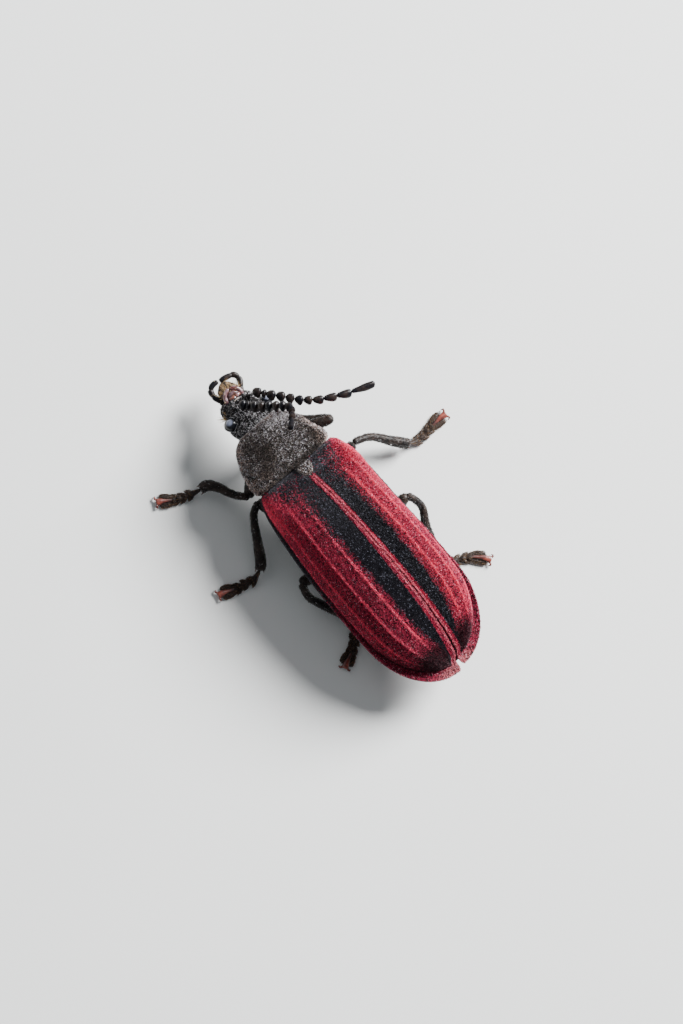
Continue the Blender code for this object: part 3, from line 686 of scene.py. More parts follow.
def pronotum_pattern(tree, colours):
    """Black ground with brown, grey and whitish grains, more of them where the ridge attribute is high."""
    cell, glint = specks(tree, PRONOTUM_GRAIN)
    # ridge carries the painted light and shade of the pronotum's grains.
    lights = math_node(tree, "SUBTRACT", read_number(tree, "ridge"), 0.23)
    wave = math_node(tree, "SUBTRACT", grain(tree, 1.0, 3.0), 0.5)
    wave = product(tree, wave, ramp(tree, read_number(tree, "along"), -0.5, -0.1, 0.3, 0.1))
    more = math_node(tree, "ADD", wave, math_node(tree, "ADD", lights, 0.22))
    level = math_node(tree, "ADD", cell, more)
    shade = blend_colours(tree, ramp(tree, level, 0.35, 0.50), colours.pronotum_dark, colours.hair_brown)
    shade = blend_colours(tree, ramp(tree, level, 0.68, 0.80), shade, colours.hair_grey)
    edge = product(tree, read_number(tree, "edge"), ramp(tree, grain(tree, 2.4, 2.0), 0.32, 0.6),
                   ramp(tree, cell, 0.3, 0.7))
    shade = blend_colours(tree, edge, shade, colours.hair_side)
    # The whitish grains are painted glints of light on the hairs, more where the light is painted.
    whitish = ramp(tree, math_node(tree, "ADD", glint, more), 0.87, 0.93)
    return blend_colours(tree, whitish, shade, colours.hair_pale)


def make_materials(colours):
    """Makes the skins and hairs of the velvety plates, the bare plates, the eyes, and the plain hairs."""
    for name, pattern, rough in (("red_velvet", elytra_pattern, 0.55), ("grey_velvet", pronotum_pattern, 0.6),
                                 ("head_black", head_pattern, 0.4)):
        tree, shader = new_material(name, Roughness=rough, Specular_IOR_Level=0.15)
        ground = darken(tree, pattern(tree, colours), SKIN_SHADE)
        tree.links.new(ground, shader.inputs["Base Color"])
        height = math_node(tree, "ADD", grain(tree, 9.0, 3.0), pits(tree, ELYTRA_GRAIN))
        relief(tree, shader, height, 0.03, 0.8)

        tree, shader = new_material(name + "_hair", Roughness=0.5, Specular_IOR_Level=0.14)
        colour = pattern(tree, colours)
        dim = blend_colours(tree, ramp(tree, read_number(tree, "tone"), 0.10, 0.50),
                            darken(tree, colour, DEEP_HAIR_SHADE), colour)
        tree.links.new(dim, shader.inputs["Base Color"])

    # Bare plates: roughness, shine, size of the patches, two blacks, fineness of grain and pits, depth.
    for name, rough, shine, patches, dark, brown, fine, dots, depth in (
            ("black_cuticle", 0.32, 0.25, 2.0, colours.cuticle, colours.cuticle_brown, 14.0, 12.0, 0.02),
            ("leg_black", 0.45, 0.18, 2.6, colours.leg, colours.leg_brown, 16.0, 14.0, 0.015)):
        tree, shader = new_material(name, Roughness=rough, Specular_IOR_Level=shine)
        shade = blend_colours(tree, ramp(tree, grain(tree, patches, 3.0), 0.35, 0.7), dark, brown)
        shade = blend_colours(tree, read_number(tree, "edge"), shade, colours.leg_tan)
        tree.links.new(shade, shader.inputs["Base Color"])
        height = math_node(tree, "ADD", product(tree, grain(tree, fine, 2.0), 0.5), pits(tree, dots))
        relief(tree, shader, height, depth)

    for name, rough, depth in (("palp_gloss", 0.30, 0.008), ("feeler_black", 0.24, 0.006)):
        tree, shader = new_material(name)
        shade = blend_colours(tree, ramp(tree, grain(tree, 3.0, 2.0), 0.4, 0.7), colours.cuticle,
                              colours.cuticle_brown)
        tree.links.new(shade, shader.inputs["Base Color"])
        relief(tree, shader, pits(tree, 20.0), depth, 0.7)
        matt = read_number(tree, "groove")
        tree.links.new(ramp(tree, matt, 0.0, 1.0, rough, 0.8), shader.inputs["Roughness"])
        tree.links.new(ramp(tree, matt, 0.0, 1.0, 0.16, 0.02), shader.inputs["Specular IOR Level"])

    for name, colour, other, rough, patches in (
            ("horn_brown", colours.jaw, colours.jaw_dark, 0.24, 3.5),
            ("claw_red", colours.claw, colours.claw_dark, 0.34, 5.0),
            ("lip_brown", colours.lip, colours.jaw, 0.12, 7.0),
            ("pale_edge", colours.hair_side, colours.hair_grey, 0.5, 2.5)):
        tree, shader = new_material(name, Roughness=rough, Coat_Weight=0.3, Coat_Roughness=0.15)
        shade = blend_colours(tree, ramp(tree, grain(tree, patches, 3.0), 0.35, 0.62), other, colour)
        shade = blend_colours(tree, read_number(tree, "edge"), shade, colours.leg)
        tree.links.new(shade, shader.inputs["Base Color"])
        relief(tree, shader, grain(tree, 12.0, 2.0), 0.008, 0.5)

    tree, shader = new_material("eye_gloss", Roughness=0.20, Specular_IOR_Level=0.35, Coat_Weight=0.2,
                                Coat_Roughness=0.08)
    shade = blend_colours(tree, ramp(tree, pits(tree, 30.0), 0.1, 0.6), colours.eye_light, colours.eye)
    # Painted reflection: the ridge attribute marks a bluish patch painted where the eye would mirror the sky.
    shade = blend_colours(tree, read_number(tree, "ridge"), shade, colours.eye_sheen)
    tree.links.new(shade, shader.inputs["Base Color"])
    relief(tree, shader, pits(tree, 30.0), 0.004, 0.35)

    for name, low, high, start, end in (
            ("dark_hair", colours.hair_black, colours.hair_pale, 0.89, 1.06),
            ("foot_hair", colours.leg_brown, colours.hair_tan, 0.65, 1.1),
            ("feeler_hair", colours.cuticle, colours.hair_grey, 0.93, 1.1),
            ("pale_hair", colours.hair_grey, colours.hair_pale, 0.15, 1.0),
            ("tan_hair", colours.hair_tan, colours.hair_cream, 0.15, 1.0)):
        tree, shader = new_material(name, Roughness=0.4, Specular_IOR_Level=0.25)
        tone = read_number(tree, "tone")
        shade = blend_colours(tree, ramp(tree, tone, start, end), low, high)
        tree.links.new(shade, shader.inputs["Base Color"])


def elytra_width(y):
    """Half width over both elytra, with the rim."""
    front = profile_at(ELYTRA_FRONT_WIDTHS, y)
    part = np.clip((y - ELYTRA_WIDEST_Y) / (ELYTRA_APEX_Y - ELYTRA_WIDEST_Y), 0, 1)
    rear = ELYTRA_TIP_X + (ELYTRA_HALF_WIDTH - ELYTRA_TIP_X) * np.sqrt(1 - part**ELYTRA_TAPER_POWER)
    return np.where(y > ELYTRA_WIDEST_Y, rear, front)


def disc_width(y):
    """Half width of the arched part, inside the flat rim."""
    rim = profile_at(RIM_WIDTHS, y)
    end_rim = RIM_WIDTHS[-1][1]
    part = np.clip((y - ELYTRA_WIDEST_Y) / (ELYTRA_APEX_Y - end_rim - ELYTRA_WIDEST_Y), 0, 1)
    rear = (ELYTRA_HALF_WIDTH - rim) * np.sqrt(1 - part**ELYTRA_TAPER_POWER)
    return np.maximum(np.where(y > ELYTRA_WIDEST_Y, rear, elytra_width(y) - rim), 0.05)


def elytron_patch(plates, side):
    """One wing case: its arch, ridges, flat rim and inner wall. side: 1 for the left, -1 for the right."""
    rows, arch_points, rim_points, wall_points = 170, 72, 10, 18
    run = np.linspace(0, 1, rows)
    y = ELYTRA_BASE_Y + (ELYTRA_APEX_Y - 0.003 - ELYTRA_BASE_Y) * (0.45 * run + 0.55 * (1 - (1 - run) ** 2))
    right = 1.0 if side < 0 else 0.0
    swell = right * (0.13 * (1 - smooth_step(0.6, 3.0, y)) - 0.08 * smooth_step(6.5, 8.2, y))
    width = elytra_width(y) + swell
    disc = np.maximum(disc_width(y) + swell, 0.05)
    margin, crown = profile_at(MARGIN_HEIGHTS, y), profile_at(SUTURE_HEIGHTS, y)
    foot = margin + 0.05
    crown = np.maximum(foot + (crown - foot) * smooth_step(0.0, 0.40, ELYTRA_APEX_Y - 0.30 - y), foot + 0.004)
    seam = 0.015 + 0.075 * np.clip(y / ELYTRA_APEX_Y, 0, 1) ** 4
    into_tip = np.clip((y - ELYTRA_APEX_Y) / ELYTRA_TIP_ROUND + 1, 0, 1)
    seam = seam + (ELYTRA_TIP_X - 0.10) * (1 - np.sqrt(1 - into_tip**2))
    shield = profile_at(SHIELD_HALF_WIDTHS, y) + np.where(y < 0, 0.012, 0)
    start = np.minimum(np.maximum(seam, shield), width * 0.8)
    lead = (np.clip((start - seam) / np.maximum(disc - seam, 0.02), 0, 0.95)) ** (1 / ARCH_POWER)
    lead = np.arcsin(lead)
    arch_part = np.linspace(0, 1, arch_points)[None, :]
    turn = lead[:, None] + (np.pi / 2 - lead[:, None]) * arch_part
    x = np.maximum(seam[:, None] + (disc - seam)[:, None] * np.sin(turn) ** ARCH_POWER, start[:, None])
    squareness = (0.62 + 0.28 * smooth_step(-0.3, 2.0, y))[:, None]
    z = foot[:, None] + (crown - foot)[:, None] * np.clip(np.cos(turn), 0, 1) ** squareness

    # Ridges, swellings and hollows stand out along the arch's own normals.
    slope_x, slope_z = np.gradient(x, axis=1), np.gradient(z, axis=1)
    size = np.maximum(np.hypot(slope_x, slope_z), TINY)
    across = np.cumsum(np.concatenate([0 * size[:, :1], np.hypot(np.diff(x), np.diff(z))], axis=1), axis=1)
    across = across + start[:, None] - seam[:, None]
    total = across[:, -1:]
    grow = (smooth_step(-0.2, 1.2, y) * (1 - smooth_step(6.8, 8.9, y)))[:, None]
    ridge = sum(bump(across, part * total, 0.055) for part in RIDGES) * grow
    outer_ridge = bump(across, total - 0.10, 0.05) * smooth_step(0.0, 1.0, y)[:, None]
    rise = 0.030 * ridge + 0.02 * outer_ridge
    rise = rise + 0.028 * bump(across, 0.045, 0.04) - 0.016 * bump(across, 0.15, 0.05)
    rise = rise + 0.07 * bump(across, 2.15, 0.42) * bump(y, 0.45, 0.55)[:, None]
    rise = rise - 0.06 * bump(across, 1.45, 0.30) * bump(y, 0.05, 0.40)[:, None]
    drop = 0.07 * (1 - smooth_step(0.0, 0.22, y - ELYTRA_BASE_Y))[:, None] * bump(across, 0.9, 1.8)
    waves = slow_waves(across, y, 1.6, side * 3.0)
    rise = (rise + 0.012 * waves) * smooth_step(0.0, 0.10, total - across + 0.03)
    x, z = x + rise * (-slope_z / size), z + rise * (slope_x / size) - drop

    # Flat rim with its trough, the lip's edge, and the wall under the arch.
    rim_part = np.linspace(0, 1, rim_points + 1)[None, 1:]
    rim_x = x[:, -1:] + (width[:, None] - x[:, -1:]) * rim_part
    rim_x = np.maximum(rim_x, x[:, -1:] + 0.001 * rim_part)
    trough = (0.02 + 0.035 * smooth_step(4.5, 7.5, y))[:, None]
    rim_z = (margin + 0.05)[:, None] - trough * np.sin(np.pi * rim_part) ** 2
    rim_z = rim_z + 0.25 * trough * smooth_step(0.5, 1.0, rim_part)
    far = rim_x[:, -1:]
    lip_x = far + np.array([[0.014, 0.012, -0.01]])
    lip_z = margin[:, None] + np.array([[0.035, 0.0, -0.035]])
    wall_turn = np.maximum(np.linspace(np.pi / 2, 0, wall_points)[None, :], lead[:, None])
    inner = np.maximum(disc - ELYTRA_WALL, 0.03)
    wall_x = seam[:, None] + (inner - seam)[:, None] * np.sin(wall_turn) ** ARCH_POWER
    wall_x = np.maximum(wall_x, start[:, None])
    wall_x = np.minimum(wall_x, far - 0.03)
    wall_top = np.maximum(crown - ELYTRA_WALL, margin - 0.01)
    wall_rise = np.clip(np.cos(wall_turn), 0, 1) ** squareness
    wall_z = (margin - 0.035)[:, None] + (wall_top - margin + 0.035)[:, None] * wall_rise
    wall_z = wall_z - drop[:, :1] * 0.6
    all_x = np.concatenate([x, rim_x, lip_x, wall_x], axis=1) * side
    all_z = np.concatenate([z, rim_z, lip_z, wall_z], axis=1)
    all_y = np.broadcast_to(y[:, None] - right * 0.10 * smooth_step(7.2, 9.2, y)[:, None], all_x.shape)
    near_seam = 1 - smooth_step(0.3, 1.5, np.abs(all_x))
    near_base = 1 - smooth_step(0.0, 1.2, all_y - ELYTRA_BASE_Y)
    drawn_back = 0.04 * near_seam * near_base
    rings = np.stack([all_x, all_y + drawn_back, all_z], axis=-1)

    # Attributes: place across, edge of the arch, painted shade beside the rim and on the slope inside it,
    # ridges and hairs.
    spread = rim_points + 3 + wall_points
    rim_across = total + (rim_x - x[:, -1:])
    blank = np.zeros((rows, 3 + wall_points))
    across_all = np.concatenate([across, rim_across, blank + total + 0.3], axis=1)
    edge = np.concatenate([smooth_step(-0.10, 0.0, across - total), np.ones((rows, spread))], axis=1)
    # Painted shade beside the rim, wider towards the back; the same attribute makes the antennae matt where
    # they rise high.
    reach = (0.05 + 0.17 * smooth_step(4.5, 7.5, y))[:, None]
    groove = np.concatenate([bump(across, total, reach), bump(rim_x, x[:, -1:], 0.08), blank], axis=1)
    groove = groove * ((0.35 + 0.65 * smooth_step(4.5, 7.0, y)) * (1 - smooth_step(8.65, 8.85, y)))[:, None]
    ridge_all = np.concatenate([ridge + 0.8 * outer_ridge, np.zeros((rows, spread))], axis=1)
    shoulder = bump(across, 2.4, 0.6) * bump(y, 0.2, 0.7)[:, None]
    shoulder = np.concatenate([shoulder, np.zeros((rows, spread))], axis=1)
    fur = np.concatenate([np.ones((rows, arch_points)), np.full((rows, rim_points), 0.7), blank], axis=1)
    fur = fur * np.clip(smooth_step(-0.60, -0.50, y), 0.1, 1)[:, None]
    across_all = across_all * (RIGHT_STRIPE_SCALE if right else 1.0)
    plates.add(rings, fur=fur, across=across_all, along=all_y, edge=edge, ridge=ridge_all + shoulder,
               groove=groove)


def pronotum_patch(plates):
    """The shield behind the head: its arch, dents and beads."""
    rows, arch_points, under_points = 96, 110, 12
    run = np.linspace(0, 1, rows)
    first, last = PRONOTUM_WIDTHS[0][0], PRONOTUM_WIDTHS[-1][0]
    y = first + (last - first) * (1 - np.cos(np.pi * run)) / 2
    width = profile_at(PRONOTUM_WIDTHS, y)
    crown = profile_at(PRONOTUM_CROWN, y)
    round_front = smooth_step(-0.02, 0.16, y - first)
    round_back = smooth_step(-0.02, 0.12, last - y)
    crown = crown - 0.10 * (1 - round_front) - 0.10 * (1 - round_back)
    turn = np.pi * (np.linspace(0, 1, arch_points) - 0.5)[None, :]
    foot = PRONOTUM_MARGIN_Z + 0.04
    sine = np.sign(turn) * np.abs(np.sin(turn)) ** 0.92
    narrow = 0.08 * smooth_step(0.0, 0.9, -sine) * (1 - smooth_step(-1.6, -0.8, y))[:, None]
    x = width[:, None] * sine * (1 - narrow)
    z = foot + (crown - foot)[:, None] * np.clip(np.cos(turn), 0, 1) ** 0.9
    away = 1 - np.abs(sine)
    bead = bump(away, 0.012, 0.012) * 0.03
    side_bulge = -0.03 * bump(away, 0.06, 0.03)
    far_x = np.abs(x)
    row_y = y[:, None]
    dents = -0.07 * bump(far_x, 1.22, 0.24) * bump(row_y, -1.12, 0.26)
    dents = dents - 0.035 * bump(far_x, 0.55, 0.3) * bump(row_y, -0.95, 0.2)
    dents = dents - 0.03 * bump(x, 0.0, 0.10) * bump(row_y, -1.3, 0.6)
    dents = dents + 0.02 * bump(far_x, 0.5, 0.3) * bump(row_y, -1.9, 0.4)
    hind_bead = 0.03 * bump(last - row_y, 0.03, 0.03) - 0.03 * bump(last - row_y, 0.12, 0.05)
    front_bead = 0.03 * bump(row_y - first, 0.035, 0.03) - 0.02 * bump(row_y - first, 0.12, 0.05)
    z = z + bead + side_bulge + (dents + hind_bead + front_bead) * np.cos(turn) ** 0.5
    z = z + 0.014 * slow_waves(x, y, 2.2, 7.0)
    under = np.linspace(1, -1, under_points + 2)[None, 1:-1]
    under_x = width[:, None] * under * 0.97
    under_z = np.full_like(under_x, PRONOTUM_MARGIN_Z - 0.02)
    all_x = np.concatenate([x, under_x], axis=1)
    all_z = np.concatenate([z, under_z], axis=1)
    rings = np.stack([all_x, np.broadcast_to(row_y, all_x.shape), all_z], axis=-1)
    edge = smooth_step(0.72, 0.97, np.abs(sine)) * np.ones((rows, 1))
    edge = np.maximum(edge, 0.6 * bump(far_x, 1.35, 0.25) * bump(row_y, -1.0, 0.3))
    edge = np.maximum(edge, 0.7 * bump(row_y, first, 0.10))
    # Painted light and shade on the grains, carried by the ridge attribute: more pale grains at the front
    # right, which faces the light, and on the sides; fewer on the left middle and in the side dents, painted
    # shade; fewer along the hind edge.
    lights = 0.30 * bump(row_y, -2.40, 0.30) * smooth_step(0.9, -0.7, x)
    lights = lights + 0.10 * smooth_step(0.72, 0.96, np.abs(sine))
    lights = lights - 0.22 * bump(x, 0.74, 0.32) * bump(row_y, -1.75, 0.30)
    lights = lights - 0.20 * bump(far_x, 1.24, 0.26) * bump(row_y, -1.12, 0.26)
    lights = lights - 0.15 * bump(row_y, last, 0.12)
    none = np.zeros((rows, under_points))
    fur = np.concatenate([np.ones(z.shape) + 0.5 * edge, none], axis=1)
    plates.add(rings, fur=fur, along=rings[..., 1], edge=np.concatenate([edge, none], axis=1),
               ridge=np.concatenate([lights, none], axis=1))


def scutellum_patch(plates):
    """The small shield between the elytra's bases."""
    rows, columns = 30, 36
    y = np.linspace(-0.66, -0.004, rows)
    half = np.maximum(profile_at(SHIELD_HALF_WIDTHS, y) - 0.004, 0.012)
    half = half * np.sqrt(np.clip(smooth_step(-0.72, -0.60, y), 0.3, 1))
    top = 2.95 + 0.20 * smooth_step(-0.66, -0.52, y) - 0.05 * smooth_step(-0.12, 0.0, y)
    turn = np.pi * np.linspace(0, 1, columns)[None, :]
    x = half[:, None] * np.cos(turn)
    z = (top - 0.14)[:, None] + 0.14 * np.sin(turn) ** 0.6
    under = np.linspace(-1, 1, 8)[None, 1:-1] * half[:, None]
    all_x = np.concatenate([x, under], axis=1)
    all_z = np.concatenate([z, under * 0 + 2.75], axis=1)
    all_y = np.broadcast_to(y[:, None], all_x.shape)
    fur = np.concatenate([lengthways(smooth_step(-0.62, -0.54, y), columns), np.zeros(under.shape)], axis=1)
    dark_front = 0.45 * (1 - smooth_step(-0.62, -0.55, all_y))
    plates.add(np.stack([all_x, all_y, all_z], axis=-1), fur=fur, edge=0.25, ridge=0.02 - dark_front)


def head_patch(plates):
    """The head's case, from the neck to the front edge over the mouth."""
    rows, columns = 90, 84
    reach = np.linspace(HEAD[0][0], HEAD[-1][0], rows)
    values = profile_at(HEAD, reach)
    half, low, high = values[:, 0], values[:, 1], values[:, 2]
    turn = 2 * np.pi * np.arange(columns) / columns
    cosine, sine = np.cos(turn)[None, :], np.sin(turn)[None, :]
    end = np.sqrt(np.clip(smooth_step(-0.05, 0.10, HEAD[-1][0] - reach), 0.3, 1))[:, None]
    x = half[:, None] * np.sign(cosine) * np.abs(cosine) ** 0.92 * end
    middle, tall = ((low + high) / 2)[:, None], ((high - low) / 2)[:, None]
    z = middle + tall * np.sign(sine) * np.abs(sine) ** 0.88 * end
    forward, far = reach[:, None], np.abs(x)
    top = np.clip(sine, 0, 1) ** 0.5
    shape = -0.06 * bump(x, 0, 0.26) * bump(forward, 0.92, 0.2)
    shape = shape + 0.06 * bump(far, 0.40, 0.12) * bump(forward, 1.0, 0.13)
    shape = shape - 0.035 * bump(forward, 1.13, 0.025) * bump(x, 0, 0.35)
    shape = shape + 0.04 * bump(far, 0.60, 0.1) * bump(forward, 0.62, 0.22)
    shape = shape - 0.02 * bump(x, 0, 0.05) * bump(forward, 0.5, 0.4)
    shape = shape - 0.03 * bump(far, 0.3, 0.18) * bump(forward, 0.35, 0.2)
    z = z + shape * top
    cheek = 0.10 * bump(forward, 0.86, 0.09) * bump(sine, 0.35, 0.3)
    x = x + np.sign(x) * cheek
    rings = np.stack([x, np.broadcast_to(-forward, x.shape), z], axis=-1)
    fur = (0.35 + 0.65 * np.clip(sine, 0, 1)) * smooth_step(-0.3, 0.0, forward) * np.ones(x.shape)
    lights = 0.15 * bump(forward, 0.30, 0.50) * np.clip(sine, 0, 1) + 0.03
    plates.add(roughen(from_head(rings), 0.012, 5.0), fur=fur, ridge=lights)


def trunk_patch(plates, sections, top_of, shape_of, rows):
    """A part of the under side, closed along its top. top_of and shape_of give its top and its relief."""
    columns = 64
    y = np.linspace(sections[0][0], sections[-1][0], rows)
    values = profile_at(sections, y)
    half, low = values[:, 0], values[:, 1]
    top = top_of(y) - 0.05
    turn = np.pi * np.linspace(0, 1, columns)[None, :]
    x = half[:, None] * np.cos(turn)
    z = top[:, None] - (top - low)[:, None] * np.clip(np.sin(turn), 0, 1) ** 0.9
    z = z - shape_of(x, y[:, None]) * np.clip(np.sin(turn), 0, 1) ** 0.5
    inner = np.linspace(-1, 1, 10)[None, 1:-1] * half[:, None]
    all_x = np.concatenate([x, inner], axis=1)
    all_z = np.concatenate([z, inner * 0 + top[:, None]], axis=1)
    rings = np.stack([all_x, np.broadcast_to(y[:, None], all_x.shape), all_z], axis=-1)
    fur = np.concatenate([np.ones(x.shape), np.zeros(inner.shape)], axis=1)
    plates.add(rings, fur=fur, along=rings[..., 1])


def prosternum_shape(x, y):
    """How far the under side of the prothorax stands out: a ridge between the coxae and a front bead."""
    ridge = 0.05 * bump(x, 0, 0.10) * bump(y, -1.6, 0.6)
    hollows = 0.05 * bump(np.abs(x), 0.42, 0.22) * bump(y, -1.7, 0.4)
    return ridge - hollows - 0.03 * bump(y, -0.95, 0.05) + 0.02 * bump(y, -2.5, 0.06)


def thorax_shape(x, y):
    """The plates of the thorax from below: cross seams, a middle line and the side plates' edges."""
    side_line = 1.55 + 0.10 * y
    seams = -0.035 * bump(y, 0.55, 0.035) - 0.03 * bump(x, 0, 0.03) * smooth_step(0.7, 1.2, y)
    seams = seams - 0.03 * bump(np.abs(x), side_line, 0.04) * smooth_step(0.5, 0.9, y)
    return seams - 0.04 * bump(y, 3.12, 0.03) + 0.04 * bump(np.abs(x), 0.7, 0.5) * bump(y, 2.2, 1.0)


def abdomen_shape(x, y):
    """Five plates, each standing out a little at its hind edge."""
    out = np.zeros(np.broadcast(x, y).shape)
    for front, back in zip(VENTRITE_EDGES, VENTRITE_EDGES[1:]):
        part = np.clip((y - front) / (back - front), 0, 1)
        inside = (y >= front) & (y < back)
        out = out + np.where(inside, 0.05 * part**2 - 0.04 * bump(part, 0.0, 0.05), 0)
    return out


def feeler_patches(plates, line, tooth_up, sizes):
    """Eleven segments: a thick first one, then saw-toothed ones that widen outwards."""
    begin = 0.0
    for end, radius in zip(FEELER_ENDS, sizes):
        middle, _ = path_at(line, np.linspace(begin, end, 5))
        long = np.linalg.norm(middle[-1] - middle[0])
        radii = (radius * 0.60, radius * 0.84, radius, radius, radius * 0.88)
        blunt = min(0.7, 0.33 * long / radius)
        rings = bar_rings(middle, radii, sides=20, rows=22, flat=0.9, up=tooth_up, ends=(blunt, blunt),
                          tooth=0.32)
        plates.add(roughen(rings, 0.008, 12.0), groove=smooth_step(3.6, 3.9, middle[2][2]))
        begin = end


def build_femur(name, thigh):
    """A leg's hip, the small joint under it, and its thigh."""
    hip = thigh[0]
    hip_line = ((hip[0] * 1.15, hip[1] - 0.05, HIP_TOP_Z), (hip[0] * 0.9, hip[1], 0.95),
                (hip[0] * 0.85, hip[1] + 0.02, 0.76))
    plates = Plates()
    plates.add(roughen(bar_rings(hip_line, HIP_RADII, sides=24, rows=26, up=(0, 1, 0)), 0.01, 6.0), fur=0.5)
    away = np.array(thigh[1]) - np.array(hip)
    near = tuple(np.array(hip) + 0.30 * away)
    plates.add(bar_rings((hip, near), TROCHANTER_RADII, sides=18, rows=18), fur=0.6)
    start = tuple(np.array(hip) + 0.16 * away)
    rings = bar_rings((start,) + tuple(thigh[1:]), FEMUR_RADII, sides=26, rows=52, flat=0.9)
    plates.add(roughen(rings, 0.012, 6.0))
    plates.build("femur_shell_" + name, look("leg_black"), ["femur_" + name])


def build_tibia(name, shin, red):
    """A leg's shin, worn at its end, and the two spurs there, which join the red plates."""
    rows, sides = 64, 24
    plates = Plates()
    rings = bar_rings(shin, TIBIA_RADII, sides=sides, rows=rows, flat=0.9, ends=(1.0, 0.35))
    worn = smooth_step(0.965, 0.995, np.linspace(0, 1, rows))
    plates.add(roughen(rings, 0.010, 7.0), edge=lengthways(worn, sides))
    plates.build("tibia_shell_" + name, look("leg_black"), ["tibia_" + name])

    end = np.array(shin[-1])
    way = unit(end - np.array(shin[-2]))
    beside = unit(np.cross(way, (0, 0, 1)))
    for turn in (1, -1):
        root = end + beside * 0.12 * turn - way * 0.07
        tip = root + way * 0.15 + beside * 0.05 * turn + np.array((0, 0, -0.04))
        line = (root, (root + tip) / 2 + beside * 0.01 * turn, tip)
        red.add(bar_rings(line, SPUR_RADII, sides=8, rows=12), edge=0.7)


def foot_segments(plates, foot):
    """The foot's short segments. All but the last have two pointed lobes."""
    rows, sides = 16, 12
    worn = lengthways(0.1 + 0.7 * smooth_step(0.6, 1.0, np.linspace(0, 1, rows)), sides)
    for begin, stop, wide, lobe in FOOT_SEGMENTS:
        middle, _ = path_at(foot, np.linspace(begin, stop, 4))
        radii = [wide * share for share in SEGMENT_SHAPE]
        rings = bar_rings(middle, radii, sides=18, rows=22, flat=0.75, ends=(0.7, 0.4))
        plates.add(roughen(rings, 0.006, 10.0))
        ahead = unit(middle[-1] - middle[-2])
        out = unit(np.cross(ahead, (0, 0, 1)))
        for turn in (1, -1) if lobe else ():
            root = middle[-2] + out * wide * 0.35 * turn
            tip = middle[-1] + ahead * 0.13 * lobe + out * wide * 1.7 * turn
            root[2] = tip[2] = max(middle[-1][2] - 0.04, 0.06)
            plates.add(bar_rings((root, tip), LOBE_RADII, sides=sides, rows=rows, flat=0.6), edge=worn)


def foot_pads(plates, foot):
    """The two long pads that the foot stands on, paler round their rims."""
    rows, sides = 30, 20
    pads, _ = path_at(foot, PAD_PLACES)
    out = unit(np.cross(unit(pads[-1] - pads[0]), (0, 0, 1)))
    rim = 0.05 + 0.95 * smooth_step(0.84, 1.0, np.abs(np.cos(2 * np.pi * np.arange(sides) / sides)))
    for turn in (1, -1):
        line = np.array([point + out * turn * away for point, away in zip(pads, PAD_SPREAD)])
        line[:, 2] = PAD_Z
        rings = bar_rings(line, PAD_RADII, sides=sides, rows=rows, flat=0.42, ends=(1.0, 0.4))
        plates.add(roughen(rings, 0.012, 9.0), edge=np.ones((rows, 1)) * rim[None, :])


def claw_segment(red, foot):
    """The last, widening segment and its two hooked claws."""
    rows, sides = 26, 14
    middle, _ = path_at(foot, np.linspace(*CLAW_SEGMENT, 5))
    middle[:, 2] = CLAW_SEGMENT_HEIGHTS
    flanks = np.abs(np.cos(2 * np.pi * np.arange(sides) / sides))[None, :]
    dark = 0.80 * (1 - smooth_step(0.30, 0.75, np.linspace(0, 1, rows)))[:, None]
    dark = np.minimum(dark + 0.40 * smooth_step(0.6, 1.0, flanks), 0.85)
    red.add(bar_rings(middle, CLAW_SEGMENT_RADII, sides=sides, rows=rows, flat=0.55, ends=(1.0, 0.3)),
            edge=dark)
    ahead = unit(middle[-1] - middle[-2])
    out = unit(np.cross(ahead, (0, 0, 1)))
    rows, sides = 20, 10
    dark = 0.15 + lengthways(0.6 * smooth_step(0.5, 1.0, np.linspace(0, 1, rows)), sides)
    for turn in (1, -1):
        root = middle[-1] + out * 0.09 * turn - ahead * 0.04
        bend = root + ahead * 0.05 + out * 0.10 * turn + np.array((0, 0, 0.01))
        tip = bend - ahead * 0.08 + out * 0.05 * turn
        tip[2] = CLAW_TIP_Z
        red.add(bar_rings((root, bend, tip), CLAW_RADII, sides=sides, rows=rows), edge=dark)


def leg_pieces(name, leg):
    """A leg's thigh with its hip, shin with its spurs, five-part foot, and claws."""
    build_femur(name, leg["femur"])
    red = Plates()
    build_tibia(name, leg["tibia"], red)
    ankle = tuple(np.array(leg["tibia"][-1]) + np.array((0, 0, -0.06)))
    foot = [ankle] + [(x, y, z) for (x, y), z in zip(leg["tarsus"], FOOT_HEIGHTS)]
    plates = Plates()
    foot_segments(plates, foot)
    foot_pads(plates, foot)
    plates.build("tarsus_shell_" + name, look("leg_black"), ["tarsus_" + name])
    claw_segment(red, foot)
    red.build("claws_" + name, look("claw_red"))


